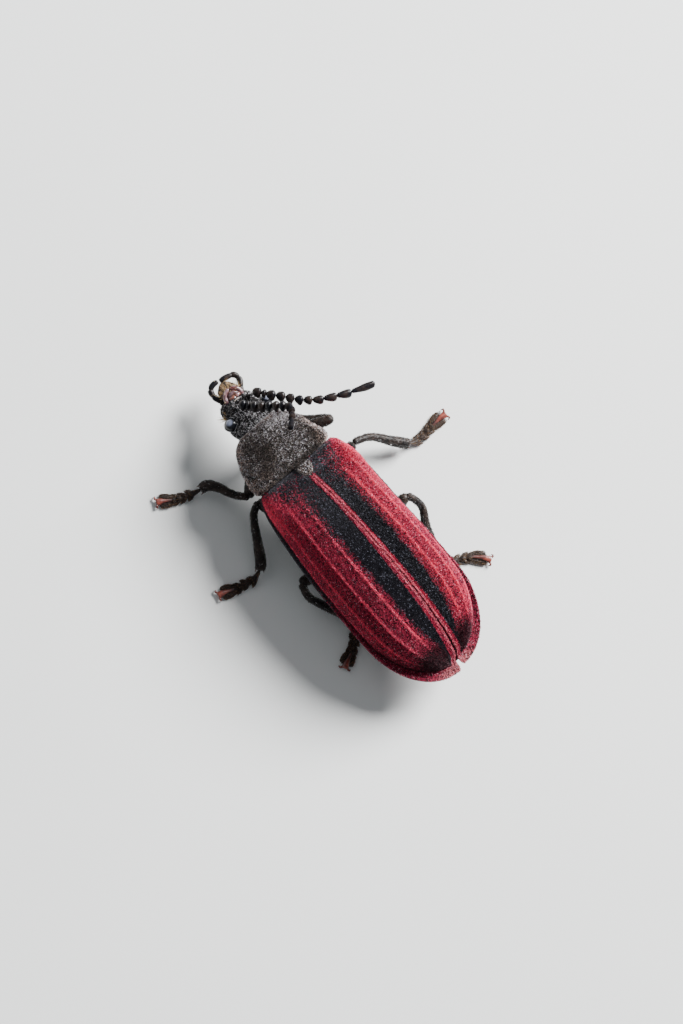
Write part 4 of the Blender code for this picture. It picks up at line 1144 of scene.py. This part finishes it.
def make_coat_tree():
    """Hairs on a skin: they follow its flow attribute, in the density of its fur attribute."""
    tree = bpy.data.node_groups.new("Beetle Coat", "GeometryNodeTree")
    sockets = {}
    for kind, names in (
            ("Geometry", ("Geometry",)), ("Float", ("Density", "Length", "Radius", "Lift", "Wild", "Bend")),
            ("Int", ("Segments", "Seed")), ("Material", ("Material",))):
        for name in names:
            sockets[name] = tree.interface.new_socket(name, in_out="INPUT", socket_type="NodeSocket" + kind)
    tree.interface.new_socket("Geometry", in_out="OUTPUT", socket_type="NodeSocketGeometry")
    given = tree.nodes.new("NodeGroupInput").outputs

    def vector_math(operation, *values):
        return node(tree, "ShaderNodeVectorMath", dict(enumerate(values)), operation=operation)

    def named(kind, name):
        made = node(tree, "GeometryNodeInputNamedAttribute", {"Name": name}, data_type=kind)
        return made.outputs["Attribute"]

    def without(geometry, name):
        inputs = {"Geometry": geometry, "Name": name}
        return node(tree, "GeometryNodeRemoveAttribute", inputs).outputs["Geometry"]

    def stored(geometry, name, kind, domain, value):
        made = node(tree, "GeometryNodeStoreNamedAttribute", {"Geometry": geometry, "Name": name},
                    data_type=kind, domain=domain)
        tree.links.new(value, made.inputs["Value"])
        return made.outputs["Geometry"]

    def scaled(vector, factor):
        return node(tree, "ShaderNodeVectorMath", {0: vector, "Scale": factor}, operation="SCALE").outputs[0]

    def chance(number, kind="FLOAT"):
        seed = math_node(tree, "ADD", given["Seed"], number)
        return node(tree, "FunctionNodeRandomValue", {"Seed": seed}, data_type=kind)

    density = product(tree, given["Density"], named("FLOAT", "fur"))
    scatter = node(tree, "GeometryNodeDistributePointsOnFaces",
                   {"Mesh": given["Geometry"], "Density": density, "Seed": given["Seed"]},
                   distribute_method="RANDOM")
    normal = scatter.outputs["Normal"]
    roots = stored(scatter.outputs["Points"], "root_uv", "FLOAT_VECTOR", "POINT",
                   named("FLOAT_VECTOR", "OFBake"))
    roots = without(roots, "OFBake")
    roots = stored(roots, "tone", "FLOAT", "POINT", chance(1.0).outputs[1])

    # Hairs lie along the skin's flow, lifted by its normal and turned aside by chance.
    flow = named("FLOAT_VECTOR", "flow")
    against = vector_math("DOT_PRODUCT", flow, normal).outputs["Value"]
    along = vector_math("SUBTRACT", flow, scaled(normal, against)).outputs[0]
    along = vector_math("NORMALIZE", along).outputs[0]
    stray = chance(2.0, "FLOAT_VECTOR")
    stray.inputs[0].default_value = (-1.0, -1.0, -1.0)
    stray.inputs[1].default_value = (1.0, 1.0, 1.0)
    leaning = vector_math("ADD", along, scaled(normal, given["Lift"])).outputs[0]
    direction = vector_math("ADD", leaning, scaled(stray.outputs[0], given["Wild"])).outputs[0]
    direction = vector_math("NORMALIZE", direction).outputs[0]
    turned = node(tree, "FunctionNodeAlignRotationToVector", {"Vector": direction}, axis="Z")
    turned = node(tree, "FunctionNodeAlignRotationToVector",
                  {"Rotation": turned.outputs[0], "Vector": normal},
                  axis="X", pivot_axis="Z")

    cone = node(tree, "GeometryNodeMeshCone",
                {"Vertices": 3, "Side Segments": given["Segments"], "Radius Top": 0.0,
                 "Radius Bottom": given["Radius"], "Depth": given["Length"]}, fill_type="NGON")
    place = node(tree, "ShaderNodeSeparateXYZ", {0: node(tree, "GeometryNodeInputPosition").outputs[0]})
    height = math_node(tree, "DIVIDE", place.outputs["Z"], given["Length"])
    hair = stored(cone.outputs["Mesh"], "height", "FLOAT", "POINT", height)
    patch_x = product(tree, math_node(tree, "DIVIDE", place.outputs["X"], given["Radius"]), HAIR_PATCH[0])
    patch_y = product(tree, height, HAIR_PATCH[1])
    patch = node(tree, "ShaderNodeCombineXYZ", {0: patch_x, 1: patch_y}).outputs[0]
    hair = stored(hair, "patch", "FLOAT_VECTOR", "POINT", patch)
    curl = product(tree, product(tree, height, height), given["Bend"])
    offset = node(tree, "ShaderNodeCombineXYZ", {0: product(tree, curl, given["Length"])}).outputs[0]
    hair = node(tree, "GeometryNodeSetPosition", {"Geometry": hair, "Offset": offset}).outputs[0]

    size = chance(3.0)
    size.inputs[2].default_value, size.inputs[3].default_value = HAIR_SIZES
    spread = node(tree, "GeometryNodeInstanceOnPoints",
                  {"Points": roots, "Instance": hair, "Rotation": turned.outputs[0],
                   "Scale": size.outputs[1]})
    real = node(tree, "GeometryNodeRealizeInstances", {"Geometry": spread.outputs[0]}).outputs[0]
    place_uv = vector_math("ADD", named("FLOAT_VECTOR", "root_uv"), named("FLOAT_VECTOR", "patch")).outputs[0]
    real = stored(real, "OFBake", "FLOAT2", "CORNER", place_uv)
    for name in ("root_uv", "patch", "flow", "fur"):
        real = without(real, name)
    final = node(tree, "GeometryNodeSetMaterial", {"Geometry": real, "Material": given["Material"]})
    node(tree, "NodeGroupOutput", {0: final.outputs[0]})
    return tree, {name: socket.identifier for name, socket in sockets.items()}


def grow_coat(name, mesh, coat, material, slot, seed, **values):
    """Grows one coat on a skin's mesh and makes it a plain piece of its own."""
    tree, names = coat
    carrier = bpy.data.objects.new(name + "_carrier", mesh)
    bpy.context.scene.collection.objects.link(carrier)
    modifier = carrier.modifiers.new("Coat", "NODES")
    modifier.node_group = tree
    settings = {"Segments": 1, "Bend": 0.0, "Seed": seed, "Material": material, **values}
    for key, value in settings.items():
        modifier[names[key]] = value
    evaluated = carrier.evaluated_get(bpy.context.evaluated_depsgraph_get())
    grown = bpy.data.meshes.new_from_object(evaluated)
    carrier.modifiers.clear()
    bpy.data.objects.remove(carrier)
    grown.name = name
    if len(grown.vertices) == 0:
        raise RuntimeError("no hairs grew on " + name)
    return settle(bpy.data.objects.new(name, grown))


def paint(name, description, red, green, blue):
    """A colour that the user can change."""
    return FloatVectorProperty(name=name, description=description, subtype="COLOR",
                               default=(red, green, blue))


class BeetleColours(bpy.types.PropertyGroup):
    """Colours of the beetle's plates and hairs."""

    red_bright: paint("Bright Red", "Red of the elytra's ridges", 0.87, 0.082, 0.155)
    red_dark: paint("Dark Red", "Red between the ridges", 0.34, 0.020, 0.064)
    red_pale: paint("Pale Red", "Pinkish red of the seam and the tip", 0.85, 0.28, 0.30)
    # Red Speck also colours the painted shade at the apex and beside the rim.
    red_speck_and_shade: paint("Red Speck", "Dark grain in the red", 0.030, 0.005, 0.010)
    # Red Glint and Black Glint are painted glints of light on the hair tips.
    red_glint: paint("Red Glint", "Palest hair tips on the red", 0.92, 0.44, 0.52)
    black_velvet: paint("Black Velvet", "Black of the stripes", 0.013, 0.012, 0.017)
    black_glint: paint("Black Glint", "Palest hair tips on the black", 0.24, 0.25, 0.31)
    base_grey: paint("Base Grey", "Front border of the elytra", 0.075, 0.072, 0.082)
    pronotum_dark: paint("Pronotum Dark", "Ground of the pronotum", 0.016, 0.014, 0.014)
    cuticle: paint("Cuticle", "Black of the head and belly", 0.006, 0.006, 0.008)
    cuticle_brown: paint("Brown Cuticle", "Browner black", 0.024, 0.017, 0.015)
    leg: paint("Leg", "Black of the legs", 0.012, 0.010, 0.010)
    leg_brown: paint("Brown Leg", "Browner black of the legs", 0.045, 0.031, 0.025)
    leg_tan: paint("Leg Tan", "Worn edges of the legs", 0.16, 0.10, 0.065)
    jaw: paint("Jaw", "Violet brown of the jaws", 0.18, 0.110, 0.130)
    jaw_dark: paint("Dark Jaw", "Darker brown of the jaws", 0.07, 0.020, 0.018)
    lip: paint("Lip", "Wet orange brown of the upper lip", 0.16, 0.048, 0.020)
    claw: paint("Claw", "Orange red of the claws", 0.26, 0.055, 0.036)
    claw_dark: paint("Dark Claw", "Darker red of the claws", 0.10, 0.018, 0.014)
    eye: paint("Eye", "Eye colour", 0.003, 0.003, 0.005)
    eye_light: paint("Eye Facet", "Middles of the facets", 0.008, 0.009, 0.013)
    # Eye Sheen is a reflection painted into the eye's colour.
    eye_sheen: paint("Eye Sheen", "Bluish patch on the eye", 0.17, 0.185, 0.25)
    hair_black: paint("Black Hair", "Darkest hairs", 0.012, 0.011, 0.011)
    hair_brown: paint("Brown Hair", "Brown hairs of the pronotum", 0.11, 0.085, 0.070)
    hair_grey: paint("Grey Hair", "Grey hairs", 0.26, 0.235, 0.225)
    hair_pale: paint("Pale Hair", "Palest hairs", 0.82, 0.80, 0.82)
    hair_side: paint("Side Hair", "Pinkish grey hairs at the sides", 0.62, 0.47, 0.40)
    hair_tan: paint("Tan Hair", "Brush at the mouth", 0.26, 0.15, 0.07)
    hair_cream: paint("Cream Hair", "Palest hairs at the mouth", 0.50, 0.38, 0.22)


class BeetleCoat(bpy.types.PropertyGroup):
    """Sizes and densities of the hairs."""

    elytra_length: FloatProperty(
        name="Elytra Hair", description="Length of the elytra's hairs", unit="LENGTH", default=0.000060,
        precision=6)
    pronotum_length: FloatProperty(
        name="Pronotum Hair", description="Length of the pronotum's hairs", unit="LENGTH", default=0.000060,
        precision=6)
    leg_length: FloatProperty(
        name="Leg Hair", description="Length of the legs' hairs", unit="LENGTH", default=0.00007, precision=6)
    hair_radius: FloatProperty(
        name="Hair Radius", description="Radius of a hair at its root", unit="LENGTH", default=0.0000130,
        precision=7)
    elytra_count: FloatProperty(
        name="Elytra Density", description="Hairs on a square millimetre of the elytra", default=1450.0)
    pronotum_count: FloatProperty(
        name="Pronotum Density", description="Hairs on a square millimetre of the pronotum", default=2200.0)
    leg_count: FloatProperty(
        name="Leg Density", description="Hairs on a square millimetre of the legs", default=520.0)
    seed: IntProperty(name="Seed", description="Start of the random numbers", default=7)


class BeetleStage(bpy.types.PropertyGroup):
    """Floor and lights."""

    floor_size: FloatProperty(name="Floor Size", description="Side of the floor", unit="LENGTH", default=0.8)
    floor_colour: paint("Floor Colour", "Pale floor", 0.78, 0.79, 0.78)
    key_power: FloatProperty(name="Key Power", description="Power of the main light", unit="POWER",
                             default=2.4)
    fill_power: FloatProperty(name="Fill Power", description="Power of the softer light", unit="POWER",
                              default=0.04)
    sky: FloatProperty(name="Sky", description="Strength of the surrounding light", default=0.27)


class BEETLE_OT_stage(bpy.types.Operator):
    """Make the floor, the soft lights and the camera"""

    bl_idname = "beetle.stage"
    bl_label = "Stage"

    def execute(self, context):
        stage = context.scene.beetle_stage
        half = stage.floor_size / 2
        mesh = bpy.data.meshes.new("floor")
        corners = [(-half, -half, 0), (half, -half, 0), (half, half, 0), (-half, half, 0)]
        mesh.from_pydata(corners, [], [(0, 1, 2, 3)])
        tree, shader = new_material("floor_paper", Roughness=0.85)
        tint = blend_colours(tree, ramp(tree, grain(tree, 0.05), 0.3, 0.7), stage.floor_colour,
                             [part * 0.97 for part in stage.floor_colour])
        tree.links.new(tint, shader.inputs["Base Color"])
        mesh.materials.append(look("floor_paper"))
        floor = bpy.data.objects.new("floor", mesh)
        context.scene.collection.objects.link(floor)

        right, up, back = Vector(VIEW_RIGHT), Vector(VIEW_UP), Vector(VIEW_BACK)
        target = Vector(VIEW_TARGET) * MM
        for name, (to_right, to_up, to_back, size), power in (
                ("key", KEY_LIGHT, stage.key_power), ("fill", FILL_LIGHT, stage.fill_power)):
            way = right * to_right + up * to_up + back * to_back
            light = bpy.data.lights.new(name, "AREA")
            light.shape = "DISK"
            light.size = size
            light.energy = power
            lamp = bpy.data.objects.new(name, light)
            lamp.location = target + way.normalized() * LIGHT_DISTANCE
            lamp.rotation_euler = way.to_track_quat("Z", "Y").to_euler()
            context.scene.collection.objects.link(lamp)
        world = bpy.data.worlds.new("sky")
        world.use_nodes = True
        background = world.node_tree.nodes["Background"]
        background.inputs["Color"].default_value = SKY_COLOUR
        background.inputs["Strength"].default_value = stage.sky
        context.scene.world = world

        camera = bpy.data.cameras.new("camera")
        camera.lens = LENS_MM
        camera.sensor_width = SENSOR_MM
        camera.clip_start = 0.01
        camera.clip_end = 5.0
        eye = bpy.data.objects.new("camera", camera)
        turn = Matrix((right, up, back)).transposed().to_4x4()
        eye.matrix_world = Matrix.Translation(target + back * VIEW_HEIGHT * LENS_MM / SENSOR_MM * MM) @ turn
        context.scene.collection.objects.link(eye)
        context.scene.camera = eye
        return {"FINISHED"}


class BEETLE_OT_elytra(bpy.types.Operator):
    """Make both wing cases with their ridges and rims"""

    bl_idname = "beetle.elytra"
    bl_label = "Elytra"

    def execute(self, context):
        for word, side in (("left", 1), ("right", -1)):
            plates = Plates()
            elytron_patch(plates, side)
            plates.build("elytron_shell_" + word, look("red_velvet"), ["elytron_" + word])
        return {"FINISHED"}


class BEETLE_OT_pronotum(bpy.types.Operator):
    """Make the pronotum and the scutellum"""

    bl_idname = "beetle.pronotum"
    bl_label = "Pronotum"

    def execute(self, context):
        for name, patch in (("pronotum", pronotum_patch), ("scutellum", scutellum_patch)):
            plates = Plates()
            patch(plates)
            plates.build(name + "_shell", look("grey_velvet"), [name])
        return {"FINISHED"}


class BEETLE_OT_head(bpy.types.Operator):
    """Make the head, the eyes, the jaws, the lips and the palps"""

    bl_idname = "beetle.head"
    bl_label = "Head"

    def execute(self, context):
        plates = Plates()
        head_patch(plates)
        for side in (1, -1):
            for line, radii, rows, up, fur in HEAD_SWELLINGS:
                swelling = bar_rings(mirrored(line, side), radii, sides=20, rows=rows, up=up)
                plates.add(from_head(swelling), fur=fur)
        plates.build("head_capsule", look("head_black"), ["head"])

        for word, side in (("left", 1), ("right", -1)):
            plates = Plates()
            place = np.array(EYE_PLACE) * (side, 1, 1)
            half = np.array((0, EYE_HALF_LENGTH, 0))
            rings = bar_rings((place + half, place, place - half), EYE_RADII, sides=48, rows=48)
            # ridge: where the eye's bluish reflection is painted, on the side that faces EYE_SHEEN_WAY.
            facing = unit(rings - place) @ unit(np.array(EYE_SHEEN_WAY) * (side, 1, 1))
            plates.add(from_head(rings), ridge=smooth_step(0.80, 0.96, facing))
            plates.build("eye_ball_" + word, look("eye_gloss"), ["eye_" + word])

        plates = Plates()
        for line in JAW_LINES:
            jaw = from_head(bar_rings(line, JAW_RADII, sides=22, rows=34))
            plates.add(roughen(jaw, 0.012, 8.0), fur=0.6)
        plates.build("jaws", look("horn_brown"), ["mouthparts"])

        plates = Plates()
        lower_lip = from_head(bar_rings(LOWER_LIP_LINE, LOWER_LIP_RADII, sides=28, rows=34, flat=0.26))
        plates.add(roughen(lower_lip, 0.03, 7.0), fur=0.5)
        plates.build("lower_lip", look("black_cuticle"))

        plates = Plates()
        lip = bar_rings(UPPER_LIP_LINE, UPPER_LIP_RADII, sides=48, rows=60, flat=0.42)
        across_x, across_y = UPPER_LIP_FOLDS
        folds = np.clip(0.6 * bump(lip[..., 0], across_x, 0.025) + bump(lip[..., 1], across_y, 0.03), 0, 1)
        lip[..., 2] = lip[..., 2] - 0.035 * folds
        dark = np.maximum(0.85 * folds, 0.55 * smooth_step(-1.40, -1.50, lip[..., 1]))
        plates.add(roughen(from_head(lip), 0.04, 7.0), edge=dark)
        plates.build("upper_lip", look("lip_brown"))

        plates = Plates()
        plates.add(from_head(bar_rings(CLYPEUS_LINE, CLYPEUS_RADII, sides=10, rows=24)))
        plates.build("clypeus_edge", look("pale_edge"))

        for word, line in (("left", PALP_LEFT), ("right", PALP_RIGHT)):
            plates = Plates()
            for begin, end, radii in PALP_JOINTS:
                middle, _ = path_at(line, np.linspace(begin, end, 4))
                plates.add(from_head(bar_rings(middle, radii, sides=20, rows=24, ends=(0.3, 0.3))), fur=0.5)
            plates.build("palp_shell_" + word, look("palp_gloss"), ["palp_" + word])
        return {"FINISHED"}


class BEETLE_OT_feelers(bpy.types.Operator):
    """Make both antennae, each of eleven segments"""

    bl_idname = "beetle.feelers"
    bl_label = "Antennae"

    def execute(self, context):
        for word, line, up, radii in (
                ("left", FEELER_LEFT, (0.5, -0.4, 0.8), FEELER_RADII_LEFT),
                ("right", FEELER_RIGHT, (0.2, 0.3, 0.9), FEELER_RADII_RIGHT)):
            plates = Plates()
            feeler_patches(plates, line, up, radii)
            plates.build("antenna_shell_" + word, look("feeler_black"), ["antenna_" + word])
        return {"FINISHED"}


class BEETLE_OT_trunk(bpy.types.Operator):
    """Make the under side: prosternum, thorax and the belly's five plates"""

    bl_idname = "beetle.trunk"
    bl_label = "Trunk"

    def execute(self, context):
        black = look("black_cuticle")
        for name, sections, top_of, shape_of, rows in (
                ("prosternum", PROSTERNUM, lambda y: y * 0 + PRONOTUM_MARGIN_Z, prosternum_shape, 60),
                ("thorax", THORAX, lambda y: profile_at(MARGIN_HEIGHTS, y), thorax_shape, 110),
                ("abdomen", ABDOMEN, lambda y: profile_at(MARGIN_HEIGHTS, y), abdomen_shape, 140)):
            plates = Plates()
            trunk_patch(plates, sections, top_of, shape_of, rows)
            plates.build(name + "_shell", black, [name])
        return {"FINISHED"}


class BEETLE_OT_legs(bpy.types.Operator):
    """Make the six legs with their spurs, lobed feet and claws"""

    bl_idname = "beetle.legs"
    bl_label = "Legs"

    def execute(self, context):
        for name, leg in LEGS.items():
            leg_pieces(name, leg)
        return {"FINISHED"}


class BEETLE_OT_coats(bpy.types.Operator):
    """Grow the hairs on every plate"""

    bl_idname = "beetle.coats"
    bl_label = "Hairs"

    def execute(self, context):
        sizes = context.scene.beetle_coat
        objects = bpy.data.objects
        coat = make_coat_tree()
        area = 1.0 / (MM * MM)
        thin = sizes.hair_radius

        # Coat, skin, hair material, slot, hairs on a square millimetre, length, radius, lift and disorder.
        jobs = []
        for word in ("left", "right"):
            jobs.append(("elytron_coat_" + word, "elytron_shell_" + word, "red_velvet_hair", "red_velvet",
                         sizes.elytra_count, sizes.elytra_length, thin, 0.55, 0.60))
            jobs.append(("antenna_coat_" + word, "antenna_shell_" + word, "feeler_hair", "black_cuticle",
                         FEELER_HAIRS, sizes.leg_length * 0.6, thin * 0.4, 0.8, 0.45))
            jobs.append(("palp_coat_" + word, "palp_shell_" + word, "tan_hair", "black_cuticle",
                         PALP_HAIRS, sizes.leg_length * 1.2, thin * 0.5, 0.8, 0.4))
        jobs.append(("pronotum_coat", "pronotum_shell", "grey_velvet_hair", "grey_velvet",
                     sizes.pronotum_count, sizes.pronotum_length, thin, 0.55, 0.8))
        jobs.append(("scutellum_coat", "scutellum_shell", "grey_velvet_hair", "grey_velvet",
                     SCUTELLUM_HAIRS, sizes.pronotum_length * 0.7, thin * 0.9, 0.4, 0.5))
        jobs.append(("head_coat", "head_capsule", "head_black_hair", "black_cuticle",
                     HEAD_HAIRS, sizes.pronotum_length * 0.8, thin * 0.85, 0.5, 0.6))
        jobs.append(("jaw_coat", "jaws", "tan_hair", "horn_brown",
                     JAW_HAIRS, JAW_HAIR_LENGTH, thin * 0.5, 0.7, 0.5))
        for name in ("prosternum", "thorax", "abdomen"):
            jobs.append((name + "_coat", name + "_shell", "dark_hair", "black_cuticle",
                         BELLY_HAIRS, sizes.pronotum_length * 0.8, thin, 0.3, 0.3))
        for name in LEGS:
            for part, hair, count in (
                    ("femur", "dark_hair", 1.0), ("tibia", "dark_hair", 1.1), ("tarsus", "foot_hair", 1.8)):
                jobs.append((part + "_coat_" + name, part + "_shell_" + name, hair, "leg_black",
                             sizes.leg_count * count, sizes.leg_length, thin * 0.7, 0.45, 0.4))
        for number, (name, skin, material, slot, count, length, radius, lift, wild) in enumerate(jobs):
            grow_coat(name, objects[skin].data, coat, look(material), slot, sizes.seed + 10 * number,
                      Density=count * area, Length=length, Radius=radius, Lift=lift, Wild=wild)

        brush = Plates()
        for x, y, z, way in BRUSH_ROOTS:
            line = ((x - BRUSH_HALF_WIDTH, y, z), (x + BRUSH_HALF_WIDTH, y, z))
            brush.add(from_head(bar_rings(line, BRUSH_RADII, sides=12, rows=12)), flow=way)
        cheek = bar_rings(CHEEK_BRUSH_LINE, BRUSH_RADII, sides=10, rows=8)
        brush.add(from_head(cheek), flow=CHEEK_BRUSH_WAY)
        carrier = brush.build("brush_roots", look("horn_brown"))
        grow_coat("mouth_brush", carrier.data, coat, look("tan_hair"), "horn_brown", sizes.seed + 901,
                  Density=BRUSH_HAIRS * area, Length=BRUSH_HAIR_LENGTH, Radius=BRUSH_HAIR_RADIUS,
                  Lift=0.2, Wild=0.22, Segments=3, Bend=-0.2)

        fringe = Plates()
        line = []
        for turn in np.linspace(-0.47, 0.47, 21) * np.pi:
            x = BORDER_HALF_WIDTH * math.copysign(abs(math.sin(turn)) ** 0.92, turn)
            z = PRONOTUM_MARGIN_Z + (BORDER_CROWN - PRONOTUM_MARGIN_Z) * math.cos(turn) ** 0.9
            line.append((x, BORDER_Y, z))
        fringe.add(bar_rings(line, BORDER_RADII, sides=8, rows=60), flow=(0, -1, 0.25))
        carrier = fringe.build("pronotum_border", look("pale_edge"))
        grow_coat("pronotum_fringe", carrier.data, coat, look("pale_hair"), "grey_velvet", sizes.seed + 902,
                  Density=FRINGE_HAIRS * area, Length=FRINGE_HAIR_LENGTH, Radius=FRINGE_HAIR_RADIUS,
                  Lift=0.4, Wild=0.5)
        return {"FINISHED"}


class BEETLE_PT_panel(bpy.types.Panel):
    """Lists the steps, the sizes and the colours"""

    bl_label = "Beetle"
    bl_idname = "BEETLE_PT_panel"
    bl_space_type = "VIEW_3D"
    bl_region_type = "UI"
    bl_category = "Beetle"

    def draw(self, context):
        layout = self.layout
        for operator in OPERATORS:
            layout.operator(operator.bl_idname)
        for group in (context.scene.beetle_coat, context.scene.beetle_stage, context.scene.beetle_colours):
            box = layout.box()
            for name in group.__annotations__:
                box.prop(group, name)


OPERATORS = (
    BEETLE_OT_stage, BEETLE_OT_elytra, BEETLE_OT_pronotum, BEETLE_OT_head, BEETLE_OT_feelers,
    BEETLE_OT_trunk, BEETLE_OT_legs, BEETLE_OT_coats)
GROUPS = (("beetle_colours", BeetleColours), ("beetle_coat", BeetleCoat), ("beetle_stage", BeetleStage))


def register():
    """Adds the sizes and colours to the scene, and the operators and the panel to Blender."""
    for name, group in GROUPS:
        bpy.utils.register_class(group)
        setattr(bpy.types.Scene, name, PointerProperty(type=group))
    for operator in OPERATORS:
        bpy.utils.register_class(operator)
    bpy.utils.register_class(BEETLE_PT_panel)


def unregister():
    """Takes away what register added."""
    bpy.utils.unregister_class(BEETLE_PT_panel)
    for operator in reversed(OPERATORS):
        bpy.utils.unregister_class(operator)
    for name, group in reversed(GROUPS):
        delattr(bpy.types.Scene, name)
        bpy.utils.unregister_class(group)


def main():
    """Makes the materials, then the pieces in order."""
    register()
    make_materials(bpy.context.scene.beetle_colours)
    bpy.ops.beetle.stage()
    bpy.ops.beetle.elytra()
    bpy.ops.beetle.pronotum()
    bpy.ops.beetle.head()
    bpy.ops.beetle.feelers()
    bpy.ops.beetle.trunk()
    bpy.ops.beetle.legs()
    bpy.ops.beetle.coats()


if __name__ == "__main__":
    main()
